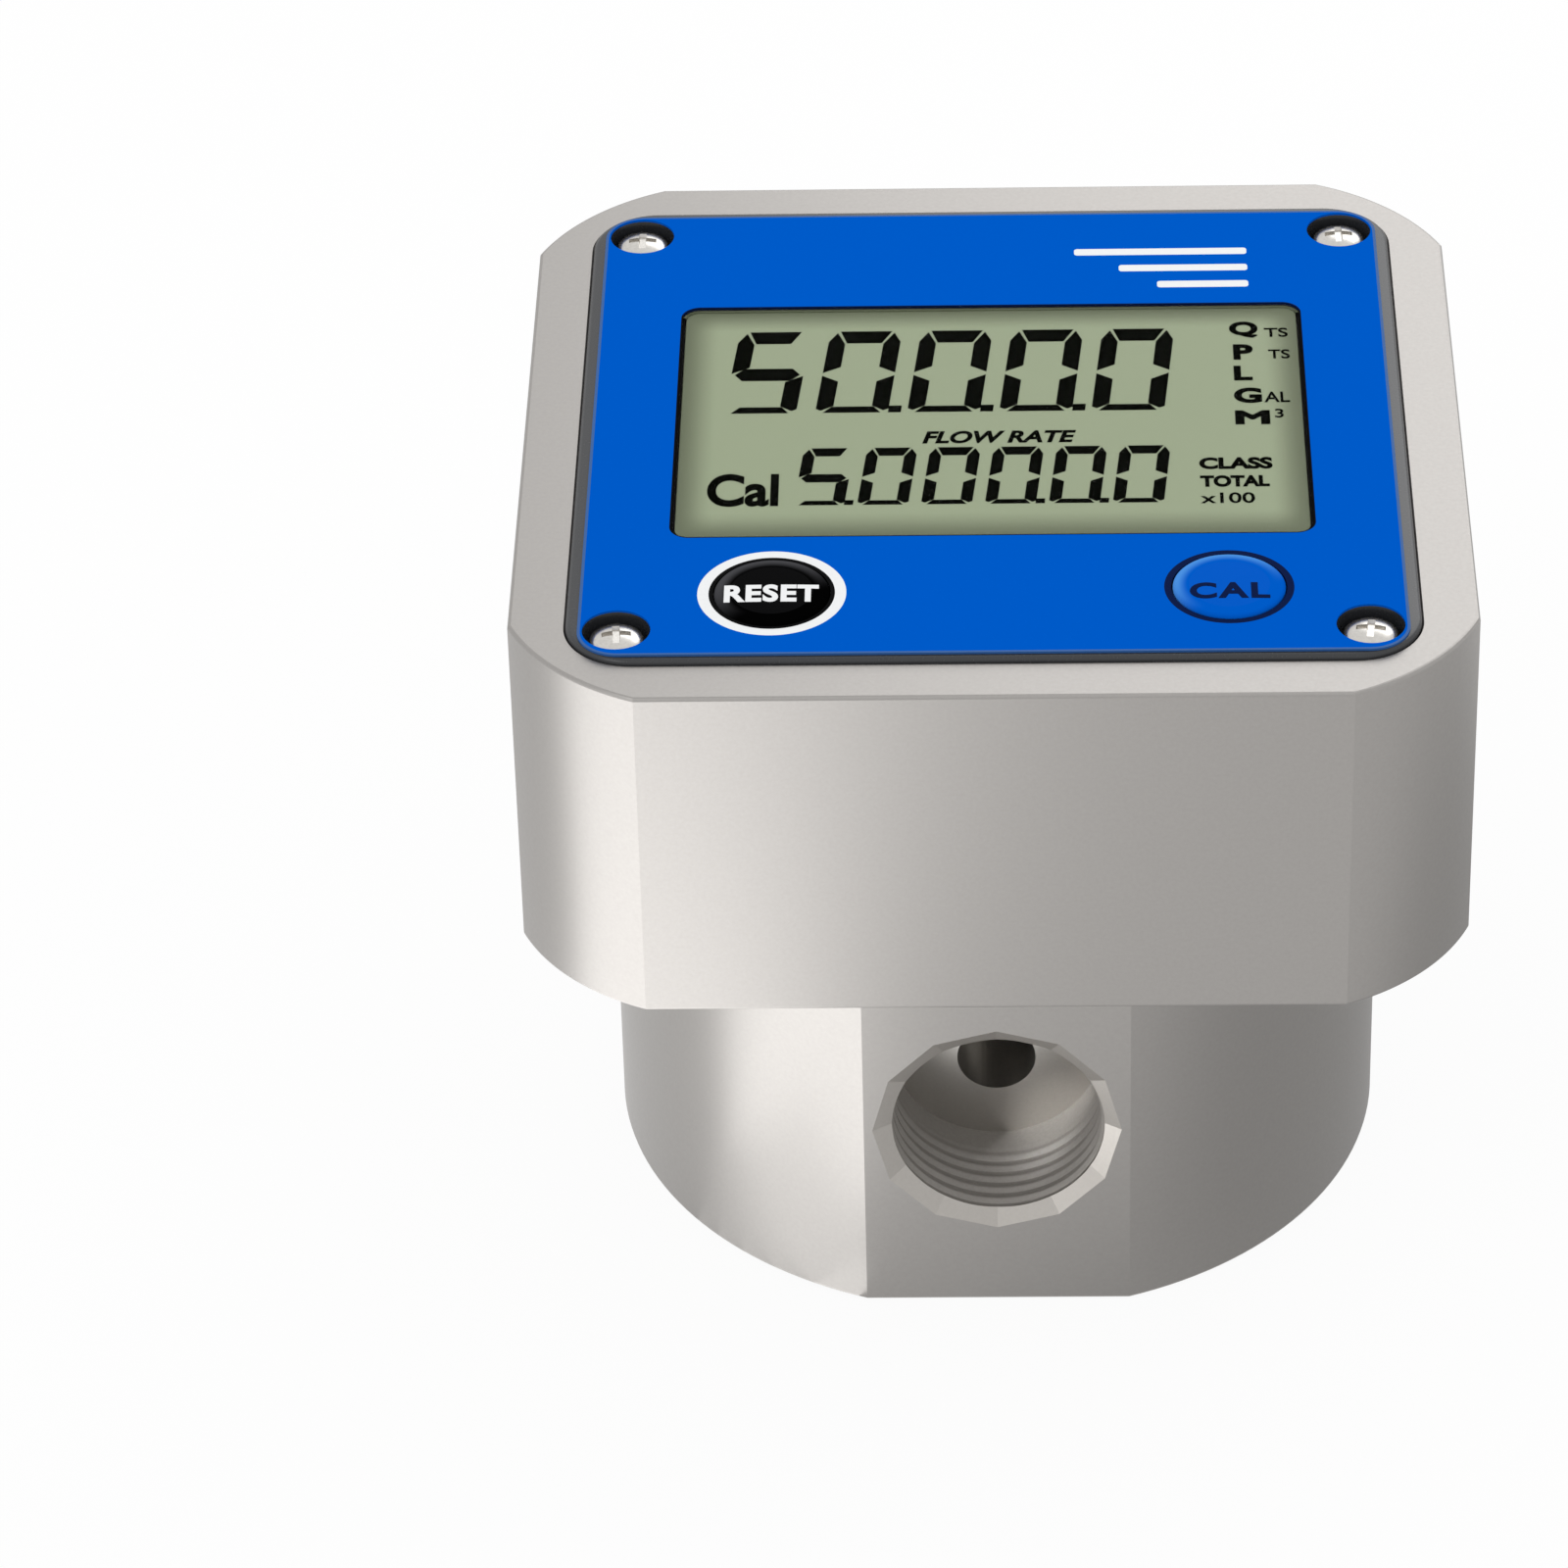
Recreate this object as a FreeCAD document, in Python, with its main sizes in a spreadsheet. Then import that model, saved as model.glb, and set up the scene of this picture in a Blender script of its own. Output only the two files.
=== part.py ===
import FreeCAD, Part
import math
import os
import types

import Sketcher

# Turbine flow meter: a round flow body with two tapped ports carries a square display head.
# Millimetres, +Z up, origin at the centre of the base, the inlet port faces -Y.

SIZES = (
    # Flow body
    ("body_diameter", 69.5, "flow body across its curved sides"),
    ("body_flat_depth", 2.05, "depth of the flat milled at each port"),
    ("body_height", 39.2, "flow body, base to top face"),
    ("body_edge", 0.4, "chamfer round the base"),
    ("port_height", 19.3, "port axis above the base"),
    ("port_bore", 18.5, "wall of the tapped M20 x 1.5 port"),
    ("port_depth", 11.5, "flat to the floor of the port"),
    ("countersink_diameter", 22.0, "twelve-sided mouth of the port across its corners"),
    ("countersink_depth", 1.1, "depth of the port's lead-in"),
    ("nozzle_bore", 7.0, "jet bore from port to rotor chamber"),
    # Rotor chamber and its cap
    ("rotor_offset", 8.5, "rotor axis beside the jet"),
    ("chamber_bore", 27.0, "bore of the rotor chamber"),
    ("chamber_height", 11.0, "floor to ceiling of the rotor chamber"),
    ("cap_fit", 0.05, "radial gap round the chamber cap"),
    ("cap_flange_width", 3.5, "flange beyond the chamber bore"),
    ("cap_flange_height", 3.0, "flange thickness"),
    ("cap_web", 1.5, "wall between chamber and pickup"),
    ("cap_seal_drop", 3.0, "flange to the cap's ring groove"),
    ("ring_width", 2.4, "height of the cap's ring"),
    ("ring_depth", 1.6, "radial depth of the cap's ring"),
    ("ring_edge", 0.5, "rounding of the squeezed rings"),
    # Rotor
    ("rotor_gap", 0.8, "vane tip to chamber wall"),
    ("rotor_end_gap", 0.7, "rotor to chamber floor and ceiling"),
    ("vane_radius", 5.0, "curvature of a vane"),
    ("vane_thickness", 1.0, "thickness of a vane"),
    ("vane_root", 1.0, "length of vane let into the hub"),
    ("magnet_circle", 13.0, "diameter through the magnets"),
    ("magnet_diameter", 3.0, "rotor magnet"),
    ("magnet_height", 3.0, "rotor magnet"),
    ("magnet_wall", 0.5, "hub beyond the magnets"),
    ("hub_recess_depth", 5.0, "ring recess under the hub"),
    ("hub_recess_wall", 1.5, "walls beside the ring recess"),
    ("shaft_diameter", 2.5, "rotor shaft"),
    ("shaft_fit", 0.03, "radial gap of shaft in bearing"),
    ("shaft_end_play", 0.3, "gap above the shaft"),
    ("shaft_edge", 0.25, "chamfer of the shaft's ends"),
    ("bearing_diameter", 5.0, "cup bearing"),
    ("bearing_length", 3.5, "cup bearing"),
    ("bearing_floor", 0.8, "closed end of the cup"),
    # Head joint
    ("seal_inset", 0.9, "land outside the face ring and inside it"),
    ("seal_width", 1.8, "face ring"),
    ("seal_depth", 1.4, "face ring"),
    ("housing_screw_diameter", 4.0, "screws from head to flow body"),
    ("housing_screw_grip", 9.4, "thread engaged in the flow body"),
    ("housing_screw_head", 7.0, "cap head diameter"),
    ("housing_screw_head_height", 4.0, "cap head height"),
    ("screw_head_gap", 0.3, "room round and over a sunk cap head"),
    ("thread_fit", 0.05, "radial gap of a screw in its tapped hole"),
    ("tap_allowance", 1.5, "tapped hole beyond the screw's end"),
    ("clearance_hole_gap", 0.25, "radial gap of a screw in a plain hole"),
    # Display housing
    ("head_width", 82.0, "head across its flats"),
    ("corner_run", 11.0, "flat's end to the square corner"),
    ("corner_radius", 20.5, "arc that joins two flats"),
    ("head_edge", 0.3, "chamfer round the head"),
    ("floor_thickness", 7.0, "floor of the head"),
    ("rim_width", 4.65, "rim round the faceplate"),
    ("ledge_width", 3.35, "ledge under the faceplate"),
    ("pocket_corner", 15.0, "corner radius of the head's pocket"),
    # Faceplate, label and screws
    ("plate_clearance", 0.2, "gap between faceplate and rim"),
    ("plate_corner", 5.8, "corner radius of the faceplate"),
    ("plate_proud", 0.45, "faceplate above the rim"),
    ("plate_edge", 0.4, "chamfer round the faceplate"),
    ("gasket_thickness", 0.8, "gasket under the faceplate"),
    ("plate_screw_inset", 4.45, "faceplate edge to screw axis"),
    ("plate_screw_diameter", 2.5, "faceplate screw"),
    ("plate_screw_head", 4.6, "pan head diameter"),
    ("plate_screw_head_height", 1.8, "pan head height"),
    ("plate_screw_crown", 0.6, "rise of the pan head's dome"),
    ("plate_screw_grip", 5.6, "thread engaged in the head"),
    ("counterbore_gap", 0.6, "radial gap round the pan head"),
    ("counterbore_depth", 1.9, "sinking of the pan head's seat"),
    ("label_thickness", 0.2, "printed overlay"),
    ("label_side_margin", 0.85, "bare plate beside the overlay"),
    ("label_end_margin", 0.7, "bare plate before and behind the overlay"),
    ("label_corner", 4.0, "corner radius of the overlay"),
    # Display
    ("window_side_margin", 8.55, "faceplate edge to window, left and right"),
    ("window_front_margin", 18.4, "faceplate edge to window, front"),
    ("window_back_margin", 16.9, "faceplate edge to window, back"),
    ("window_corner", 1.6, "corner radius of the window"),
    ("pane_seat", 0.1, "sinking of the pane's seat below the plate's top"),
    ("pane_ledge", 0.25, "width of the pane's seat"),
    ("pane_fit", 0.1, "gap round the pane, the polariser and the glass"),
    ("window_lip", 0.4, "plate left between the pane's seat and the display"),
    ("display_gasket_thickness", 0.1, "spacer between lip and glass"),
    ("polariser_gap", 0.05, "air between polariser and pane"),
    ("glass_lap", 1.0, "glass beyond the window"),
    ("glass_thickness", 1.3, "each of the two glass sheets"),
    ("glass_ledge", 2.2, "contact ledge of the front glass"),
    ("reflector_thickness", 1.6, "diffusing sheet behind the glass"),
    ("frame_nest", 0.8, "depth to which the glass sits in its frame"),
    ("frame_wall", 0.9, "wall of the display frame"),
    ("frame_deck", 1.2, "deck of the display frame"),
    ("strip_width", 1.6, "elastomer contact strip"),
    ("strip_side_gap", 2.0, "glass end to strip end"),
    ("strip_fit", 0.15, "gap round a strip in its slot"),
    ("display_height", 7.2, "board to the faceplate's underside"),
    # Board
    ("board_thickness", 1.6, "circuit board"),
    ("board_clearance", 0.5, "gap round the board"),
    ("post_spread", 24.0, "between board posts, left to right"),
    ("post_inset", 2.8, "pocket wall to post axis"),
    ("post_diameter", 6.0, "board post"),
    ("board_screw_diameter", 2.0, "board screw"),
    ("board_screw_head", 3.8, "board screw head"),
    ("board_screw_head_height", 1.4, "board screw head"),
    ("board_screw_grip", 5.0, "thread engaged in the post"),
    ("chip_width", 10.0, "processor"),
    ("chip_height", 1.4, "processor"),
    ("chip_edge", 0.3, "chamfer of the processor's top"),
    ("crystal_length", 11.0, "timing crystal"),
    ("crystal_width", 4.6, "timing crystal"),
    ("crystal_height", 3.5, "timing crystal"),
    ("crystal_offset", 14.0, "processor centre to crystal centre"),
    # Buttons and switches
    ("reset_side_inset", 17.45, "faceplate's left edge to the reset axis"),
    ("reset_front_inset", 9.75, "faceplate's front edge to the reset axis"),
    ("reset_diameter", 9.8, "reset button"),
    ("cal_side_inset", 16.15, "faceplate's right edge to the calibration axis"),
    ("cal_front_inset", 10.15, "faceplate's front edge to the calibration axis"),
    ("cal_diameter", 9.6, "calibration button"),
    ("button_fit", 0.1, "radial gap of a button in the plate"),
    ("button_crown", 0.4, "rise of a button's dome"),
    ("button_flange", 0.7, "retaining flange beyond the button"),
    ("button_flange_height", 1.0, "retaining flange"),
    ("stem_diameter", 3.0, "button stem"),
    ("button_travel", 0.8, "stroke of a button"),
    ("switch_width", 6.0, "switch body"),
    ("switch_height", 3.5, "switch body"),
    ("plunger_diameter", 3.4, "switch plunger"),
    ("plunger_fit", 0.1, "radial gap of a plunger"),
    ("plunger_stand", 1.0, "plunger above the switch at rest"),
    ("plunger_hold", 1.2, "plunger inside the switch at rest"),
    # Pickup
    ("sensor_diameter", 5.8, "pickup capsule"),
    ("sensor_fit", 0.1, "radial gap of the capsule in its well"),
    ("sensor_drop", 0.5, "capsule's top below the pocket floor"),
    ("sensor_hole_gap", 0.4, "radial gap of the capsule in the floor"),
    ("pin_diameter", 0.7, "pickup pin"),
    ("pin_pitch", 1.5, "between pickup pins"),
    # Battery
    ("pad_thickness", 0.6, "adhesive pad under the holder"),
    ("holder_floor", 1.0, "floor of the battery holder"),
    ("holder_wall", 1.2, "walls of the battery holder"),
    ("holder_rib", 0.6, "rib between the cells"),
    ("holder_height", 7.0, "height of the holder's walls"),
    ("holder_gap", 0.9, "board posts to the battery holder"),
    ("cell_diameter", 10.5, "battery cell"),
    ("cell_length", 44.5, "battery cell with its nub"),
    ("cell_nub_diameter", 3.8, "positive nub"),
    ("cell_nub_length", 1.2, "positive nub"),
    ("cell_edge", 0.5, "rounding of the can's ends"),
    ("cell_fit", 0.1, "gap beside a cell"),
    ("cell_headroom", 1.15, "cells to the board"),
    ("contact_thickness", 0.4, "battery contact strip"),
    ("contact_width", 7.0, "battery contact strip"),
    ("contact_height", 9.4, "battery contact strip"),
    ("lead_width", 0.8, "lead from contact to board"),
)

VANE_COUNT = 8
MOUTH_SIDES = 12
CORNERS = ((1, 1), (-1, 1), (-1, -1), (1, -1))
# The head's four screws stand 60 degrees off the X axis, clear of the cap flange.
SCREW_COSINE = math.cos(math.radians(60))
SCREW_SINE = math.sin(math.radians(60))


class Size:
    """A length that carries its number and the sheet expression that drives it."""

    def __init__(self, number, text):
        self.number = number
        self.text = text

    def __float__(self):
        return self.number

    def __neg__(self):
        return Size(-self.number, f"(-1 * {self.text})")

    def __add__(self, other):
        other = as_size(other)
        return Size(self.number + other.number, f"({self.text} + {other.text})")

    def __sub__(self, other):
        other = as_size(other)
        return Size(self.number - other.number, f"({self.text} - {other.text})")

    def __mul__(self, other):
        other = as_size(other)
        return Size(self.number * other.number, f"({self.text} * {other.text})")

    def __truediv__(self, other):
        other = as_size(other)
        return Size(self.number / other.number, f"({self.text} / {other.text})")

    __radd__ = __add__
    __rmul__ = __mul__

    def root(self):
        """Return the square root of this size."""
        return Size(math.sqrt(self.number), f"sqrt({self.text})")


def as_size(value):
    """Return a number as a Size, and a Size as it is."""
    return value if isinstance(value, Size) else Size(float(value), repr(float(value)))


doc = FreeCAD.newDocument("flow_meter")
sheet = doc.addObject("Spreadsheet::Sheet", "Sizes")
for row, (alias, number, meaning) in enumerate(SIZES, start=1):
    sheet.set(f"A{row}", meaning)
    sheet.set(f"B{row}", str(number))
    sheet.setAlias(f"B{row}", alias)
doc.recompute()
s = types.SimpleNamespace(**{alias: Size(float(sheet.get(alias)), f"Sizes.{alias}") for alias, _, _ in SIZES})

# Plan sizes that follow from the driving ones.
body_flats = s.body_diameter - 2 * s.body_flat_depth
cap_flange = s.chamber_bore + 2 * s.cap_flange_width
rotor_diameter = s.chamber_bore - 2 * s.rotor_gap
hub_diameter = s.magnet_circle + s.magnet_diameter + 2 * s.magnet_wall
seal_outer = body_flats / 2 - s.seal_inset
seal_inner = seal_outer - s.seal_width
housing_screw_hole = s.housing_screw_diameter + 2 * s.clearance_hole_gap
housing_screw_radius = seal_inner - s.seal_inset - housing_screw_hole / 2
housing_screw_x = housing_screw_radius * SCREW_COSINE
housing_screw_y = housing_screw_radius * SCREW_SINE
housing_counterbore = s.housing_screw_head + 2 * s.screw_head_gap
rebate_width = s.head_width - 2 * s.rim_width
rebate_corner = s.plate_corner + s.plate_clearance
pocket_width = rebate_width - 2 * s.ledge_width
plate_width = rebate_width - 2 * s.plate_clearance
plate_screw_place = plate_width / 2 - s.plate_screw_inset
plate_counterbore = s.plate_screw_head + 2 * s.counterbore_gap
plate_screw_hole = s.plate_screw_diameter + 2 * s.clearance_hole_gap
window_width = plate_width - 2 * s.window_side_margin
window_depth = plate_width - s.window_front_margin - s.window_back_margin
window_y = (s.window_front_margin - s.window_back_margin) / 2
aperture_width = window_width - 2 * s.pane_ledge
aperture_depth = window_depth - 2 * s.pane_ledge
glass_width = window_width + 2 * s.glass_lap
glass_depth = window_depth + 2 * s.glass_lap
recess_width = glass_width + 2 * s.pane_fit
recess_depth = glass_depth + 2 * s.pane_fit
frame_width = recess_width + 2 * s.frame_wall
frame_depth = recess_depth + 2 * s.frame_wall
rear_glass_depth = glass_depth - 2 * s.glass_ledge
strip_place = glass_depth / 2 - s.glass_ledge / 2
strip_length = glass_width - 2 * s.strip_side_gap
board_width = pocket_width - 2 * s.board_clearance
board_corner = s.pocket_corner - s.board_clearance
post_x = s.post_spread / 2
post_y = pocket_width / 2 - s.post_inset
reset_x = -(plate_width / 2 - s.reset_side_inset)
reset_y = -(plate_width / 2 - s.reset_front_inset)
cal_x = plate_width / 2 - s.cal_side_inset
cal_y = -(plate_width / 2 - s.cal_front_inset)
sensor_y = s.magnet_circle / 2
bay_width = s.cell_diameter + 2 * s.cell_fit
bay_length = s.cell_length + 2 * s.contact_thickness
bay_place = (bay_width + s.holder_rib) / 2
holder_width = 2 * bay_width + s.holder_rib + 2 * s.holder_wall
holder_length = bay_length + 2 * s.holder_wall
holder_y = holder_width / 2 + s.holder_gap + s.post_diameter / 2 - post_y

# Levels that follow from the stack of pieces.
chamber_floor = s.port_height - s.chamber_height / 2
chamber_ceiling = s.port_height + s.chamber_height / 2
cap_seat = s.body_height - s.cap_flange_height
shaft_bottom = chamber_floor - s.bearing_length + s.bearing_floor
shaft_top = chamber_ceiling + s.bearing_length - s.bearing_floor - s.shaft_end_play
floor_top = s.body_height + s.floor_thickness
housing_screw_seat = floor_top - s.housing_screw_head_height - s.screw_head_gap
sensor_bottom = chamber_ceiling + s.cap_web
sensor_top = floor_top - s.sensor_drop
holder_bottom = floor_top + s.pad_thickness
cell_bottom = holder_bottom + s.holder_floor
board_bottom = cell_bottom + s.cell_diameter + s.cell_headroom
board_top = board_bottom + s.board_thickness
plate_bottom = board_top + s.display_height
glass_stack = s.display_gasket_thickness + 2 * s.glass_thickness + s.reflector_thickness
plate_thickness = s.pane_seat + s.window_lip + glass_stack - s.frame_nest
plate_top = plate_bottom + plate_thickness
head_top = plate_top - s.plate_proud
ledge = plate_bottom - s.gasket_thickness
label_top = plate_top + s.label_thickness
plate_screw_seat = plate_top - s.counterbore_depth
pane_bottom = plate_top - s.pane_seat
glass_top = pane_bottom - s.window_lip - s.display_gasket_thickness
front_glass_bottom = glass_top - s.glass_thickness
rear_glass_bottom = front_glass_bottom - s.glass_thickness
deck_top = rear_glass_bottom - s.reflector_thickness
switch_top = board_top + s.switch_height
plunger_top = switch_top + s.plunger_stand


def bind(target, path, size):
    """Drive a property of an object by a size's expression."""
    target.setExpression(path, as_size(size).text)


def start_body(label, x=0, y=0, z=0):
    """Start a sub-part at a place in the meter's frame."""
    body = doc.addObject("PartDesign::Body", label)
    body.Label = label
    body.AllowCompound = True
    for axis, size in zip("xyz", (x, y, z)):
        bind(body, f"Placement.Base.{axis}", size)
    return body


def datum(body, role):
    """Return one of a body's own origin planes or axes."""
    return next(item for item in body.Origin.OriginFeatures if item.Role == role)


def start_sketch(body, name, role="XY_Plane", x=0, y=0, z=0):
    """Start a sketch on an origin plane, shifted by x and y in the plane and z along its normal."""
    sketch = body.newObject("Sketcher::SketchObject", f"{body.Label}_{name}")
    sketch.AttachmentSupport = [(datum(body, role), "")]
    sketch.MapMode = "FlatFace"
    for axis, size in zip("xyz", (x, y, z)):
        bind(sketch, f"AttachmentOffset.Base.{axis}", size)
    return sketch


def dimension(sketch, kind, references, size):
    """Add a driving dimension bound to a size."""
    size = as_size(size)
    index = sketch.addConstraint(Sketcher.Constraint(kind, *references, size.number))
    bind(sketch, f"Constraints[{index}]", size)


def pin_point(sketch, geometry, point, x, y):
    """Hold one point of a sketch at x, y from the sketch's origin."""
    for kind, axis, size in (("DistanceX", -2, as_size(x)), ("DistanceY", -1, as_size(y))):
        if size.text == "0.0":
            sketch.addConstraint(Sketcher.Constraint("PointOnObject", geometry, point, axis))
        else:
            dimension(sketch, kind, (-1, 1, geometry, point), size)


def vector(x, y):
    """Return a sketch point from two sizes or numbers."""
    return FreeCAD.Vector(float(x), float(y), 0)


def outline(sketch, corners, dome_radius=None):
    """Draw a closed outline, each corner dimensioned; with dome_radius the first edge is a dome."""
    points = [vector(x, y) for x, y in corners]
    first = sketch.GeometryCount
    ends = []
    for index, start in enumerate(points):
        finish = points[(index + 1) % len(points)]
        if index == 0 and dome_radius is not None:
            centre = FreeCAD.Vector(start.x, start.y - float(dome_radius), 0)
            circle_of_dome = Part.Circle(centre, FreeCAD.Vector(0, 0, 1), float(dome_radius))
            low = circle_of_dome.parameter(finish)
            sketch.addGeometry(Part.ArcOfCircle(circle_of_dome, low, math.pi / 2), False)
            dimension(sketch, "Radius", (first,), dome_radius)
            ends.append((2, 1))
        else:
            sketch.addGeometry(Part.LineSegment(start, finish), False)
            ends.append((1, 2))
    for index in range(len(points)):
        after = (index + 1) % len(points)
        joint = (first + index, ends[index][1], first + after, ends[after][0])
        sketch.addConstraint(Sketcher.Constraint("Coincident", *joint))
    for index, (x, y) in enumerate(corners):
        pin_point(sketch, first + index, ends[index][0], x, y)


def rectangle(sketch, width, depth, x=0, y=0):
    """Draw a rectangle about a centre."""
    corners = [(x + width * (0.5 * a), y + depth * (0.5 * b)) for a, b in CORNERS]
    outline(sketch, corners)


def circle(sketch, diameter, x=0, y=0):
    """Draw a circle about a centre."""
    shape = Part.Circle(vector(x, y), FreeCAD.Vector(0, 0, 1), float(diameter) / 2)
    index = sketch.addGeometry(shape, False)
    dimension(sketch, "Diameter", (index,), diameter)
    pin_point(sketch, index, 3, x, y)


def ring_of_edges(sketch, lines, arcs):
    """Draw four sides and the corner arcs between them, counter-clockwise; return the first index."""
    first = sketch.GeometryCount
    for (start, finish), (centre, radius, low, high) in zip(lines, arcs):
        sketch.addGeometry(Part.LineSegment(start, finish), False)
        whole = Part.Circle(centre, FreeCAD.Vector(0, 0, 1), radius)
        sketch.addGeometry(Part.ArcOfCircle(whole, low, high), False)
    return first


def rounded_rectangle(sketch, width, depth, radius, x=0, y=0):
    """Draw a rectangle with tangent corner arcs about a centre."""
    half_width, half_depth, round_off = float(width) / 2, float(depth) / 2, float(radius)
    middle = vector(x, y)
    quarter = math.pi / 2
    lines = []
    arcs = []
    for turn in range(4):
        along = half_width if turn % 2 == 0 else half_depth
        out = half_depth if turn % 2 == 0 else half_width
        spin = FreeCAD.Rotation(FreeCAD.Vector(0, 0, 1), 90 * turn)
        start = spin.multVec(FreeCAD.Vector(round_off - along, -out, 0))
        finish = spin.multVec(FreeCAD.Vector(along - round_off, -out, 0))
        centre = spin.multVec(FreeCAD.Vector(along - round_off, round_off - out, 0))
        lines.append((middle + start, middle + finish))
        arcs.append((middle + centre, round_off, (turn - 1) * quarter, turn * quarter))
    first = ring_of_edges(sketch, lines, arcs)
    for index in range(8):
        joint = (first + index, 2, first + (index + 1) % 8, 1)
        sketch.addConstraint(Sketcher.Constraint("Tangent", *joint))
    for index, kind in ((0, "Horizontal"), (2, "Vertical"), (4, "Horizontal"), (6, "Vertical")):
        sketch.addConstraint(Sketcher.Constraint(kind, first + index))
    for index in (3, 5, 7):
        sketch.addConstraint(Sketcher.Constraint("Equal", first + 1, first + index))
    dimension(sketch, "Radius", (first + 1,), radius)
    dimension(sketch, "DistanceX", (-1, 1, first + 6, 1), -(width / 2) + x)
    dimension(sketch, "DistanceX", (-1, 1, first + 2, 1), width / 2 + x)
    dimension(sketch, "DistanceY", (-1, 1, first, 1), -(depth / 2) + y)
    dimension(sketch, "DistanceY", (-1, 1, first + 4, 1), depth / 2 + y)


def creased_square(sketch, width, run, radius):
    """Draw a square whose flats stop short of the corners and are joined by flatter arcs."""
    half = float(width) / 2
    flat = half - float(run)
    middle = (half + flat) / 2
    chord = (half - flat) / math.sqrt(2)
    inward = math.sqrt(float(radius) ** 2 - chord ** 2) / math.sqrt(2)
    centre = FreeCAD.Vector(middle - inward, inward - middle, 0)
    low = math.atan2(-half - centre.y, flat - centre.x)
    high = math.atan2(-flat - centre.y, half - centre.x)
    lines = []
    arcs = []
    for turn in range(4):
        spin = FreeCAD.Rotation(FreeCAD.Vector(0, 0, 1), 90 * turn)
        start = spin.multVec(FreeCAD.Vector(-flat, -half, 0))
        finish = spin.multVec(FreeCAD.Vector(flat, -half, 0))
        lines.append((start, finish))
        quarter = turn * math.pi / 2
        arcs.append((spin.multVec(centre), float(radius), low + quarter, high + quarter))
    first = ring_of_edges(sketch, lines, arcs)
    for index in range(8):
        joint = (first + index, 2, first + (index + 1) % 8, 1)
        sketch.addConstraint(Sketcher.Constraint("Coincident", *joint))
    for turn, (sine, cosine) in enumerate(((-1, 0), (0, 1), (1, 0), (0, -1))):
        side = first + 2 * turn
        axis = -2 if cosine == 0 else -1
        sketch.addConstraint(Sketcher.Constraint("Symmetric", side, 1, side, 2, axis))
        kind = "DistanceY" if cosine == 0 else "DistanceX"
        dimension(sketch, kind, (-1, 1, side, 1), width / 2 * (sine + cosine))
        dimension(sketch, "Radius", (side + 1,), radius)
    dimension(sketch, "DistanceX", (first, 1, first, 2), width - 2 * run)
    for turn in (1, 2, 3):
        sketch.addConstraint(Sketcher.Constraint("Equal", first, first + 2 * turn))


def flatted_circle(sketch, diameter, flats):
    """Draw a circle cut by a front and a rear flat."""
    radius = float(diameter) / 2
    half = float(flats) / 2
    angle = math.asin(half / radius)
    end = math.sqrt(radius ** 2 - half ** 2)
    whole = Part.Circle(vector(0, 0), FreeCAD.Vector(0, 0, 1), radius)
    sketch.addGeometry(Part.LineSegment(vector(-end, -half), vector(end, -half)), False)
    sketch.addGeometry(Part.ArcOfCircle(whole, -angle, angle), False)
    sketch.addGeometry(Part.LineSegment(vector(end, half), vector(-end, half)), False)
    sketch.addGeometry(Part.ArcOfCircle(whole, math.pi - angle, math.pi + angle), False)
    for index in range(4):
        sketch.addConstraint(Sketcher.Constraint("Coincident", index, 2, (index + 1) % 4, 1))
    for index in (1, 3):
        sketch.addConstraint(Sketcher.Constraint("Coincident", index, 3, -1, 1))
    dimension(sketch, "Radius", (1,), diameter / 2)
    dimension(sketch, "DistanceY", (-1, 1, 0, 1), -(flats / 2))
    dimension(sketch, "DistanceY", (-1, 1, 2, 1), flats / 2)
    for index in (0, 2):
        sketch.addConstraint(Sketcher.Constraint("Horizontal", index))


def add_feature(body, kind, name, profile):
    """Add a sketched feature to a body."""
    feature = body.newObject(f"PartDesign::{kind}", f"{body.Label}_{name}")
    feature.Profile = profile
    return feature


def pad(body, sketch, height):
    """Raise a sketch along its normal."""
    feature = add_feature(body, "Pad", "pad", sketch)
    bind(feature, "Length", height)
    return feature


def pocket(body, sketch, depth=None, upward=False):
    """Sink a sketch into the solid, right through when no depth is given."""
    feature = add_feature(body, "Pocket", "pocket", sketch)
    feature.Reversed = upward
    if depth is None:
        feature.Type = "ThroughAll"
    else:
        bind(feature, "Length", depth)
    return feature


def revolve(body, sketch, axis="V_Axis"):
    """Turn a sketch about one of its own axes."""
    feature = add_feature(body, "Revolution", "turning", sketch)
    feature.ReferenceAxis = (sketch, [axis])
    feature.Angle = 360
    return feature


def groove(body, sketch, axis="V_Axis"):
    """Cut a sketch turned about one of its own axes."""
    feature = add_feature(body, "Groove", "groove", sketch)
    feature.ReferenceAxis = (sketch, [axis])
    feature.Angle = 360
    return feature


def polar(body, originals, count):
    """Repeat features evenly about the body's vertical axis."""
    feature = body.newObject("PartDesign::PolarPattern", f"{body.Label}_pattern")
    feature.Originals = originals
    feature.Axis = (datum(body, "Z_Axis"), [""])
    feature.Angle = 360
    feature.Occurrences = count
    body.Tip = feature
    return feature


def chamfer(body, base, size, wanted):
    """Chamfer the edges of a feature that pass a test."""
    doc.recompute()
    names = [f"Edge{index}" for index, edge in enumerate(base.Shape.Edges, start=1) if wanted(edge)]
    feature = body.newObject("PartDesign::Chamfer", f"{body.Label}_chamfer")
    feature.Base = (base, names)
    bind(feature, "Size", size)
    return feature


def lies_at(level):
    """Return a test for edges that lie wholly at one height of their body."""
    height = float(level)
    return lambda edge: max(abs(vertex.Z - height) for vertex in edge.Vertexes) < 1e-6


def screw_profile(sketch, shank, length, head, head_height, crown):
    """Draw half a domed screw, its seat at the sketch's origin."""
    rise = as_size(crown)
    dome = (head * head / 4 + rise * rise) / (2 * rise)
    outline(sketch, [
        (0, head_height),
        (head / 2, head_height - rise),
        (head / 2, 0),
        (shank / 2, 0),
        (shank / 2, -length),
        (0, -length),
    ], dome)


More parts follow.
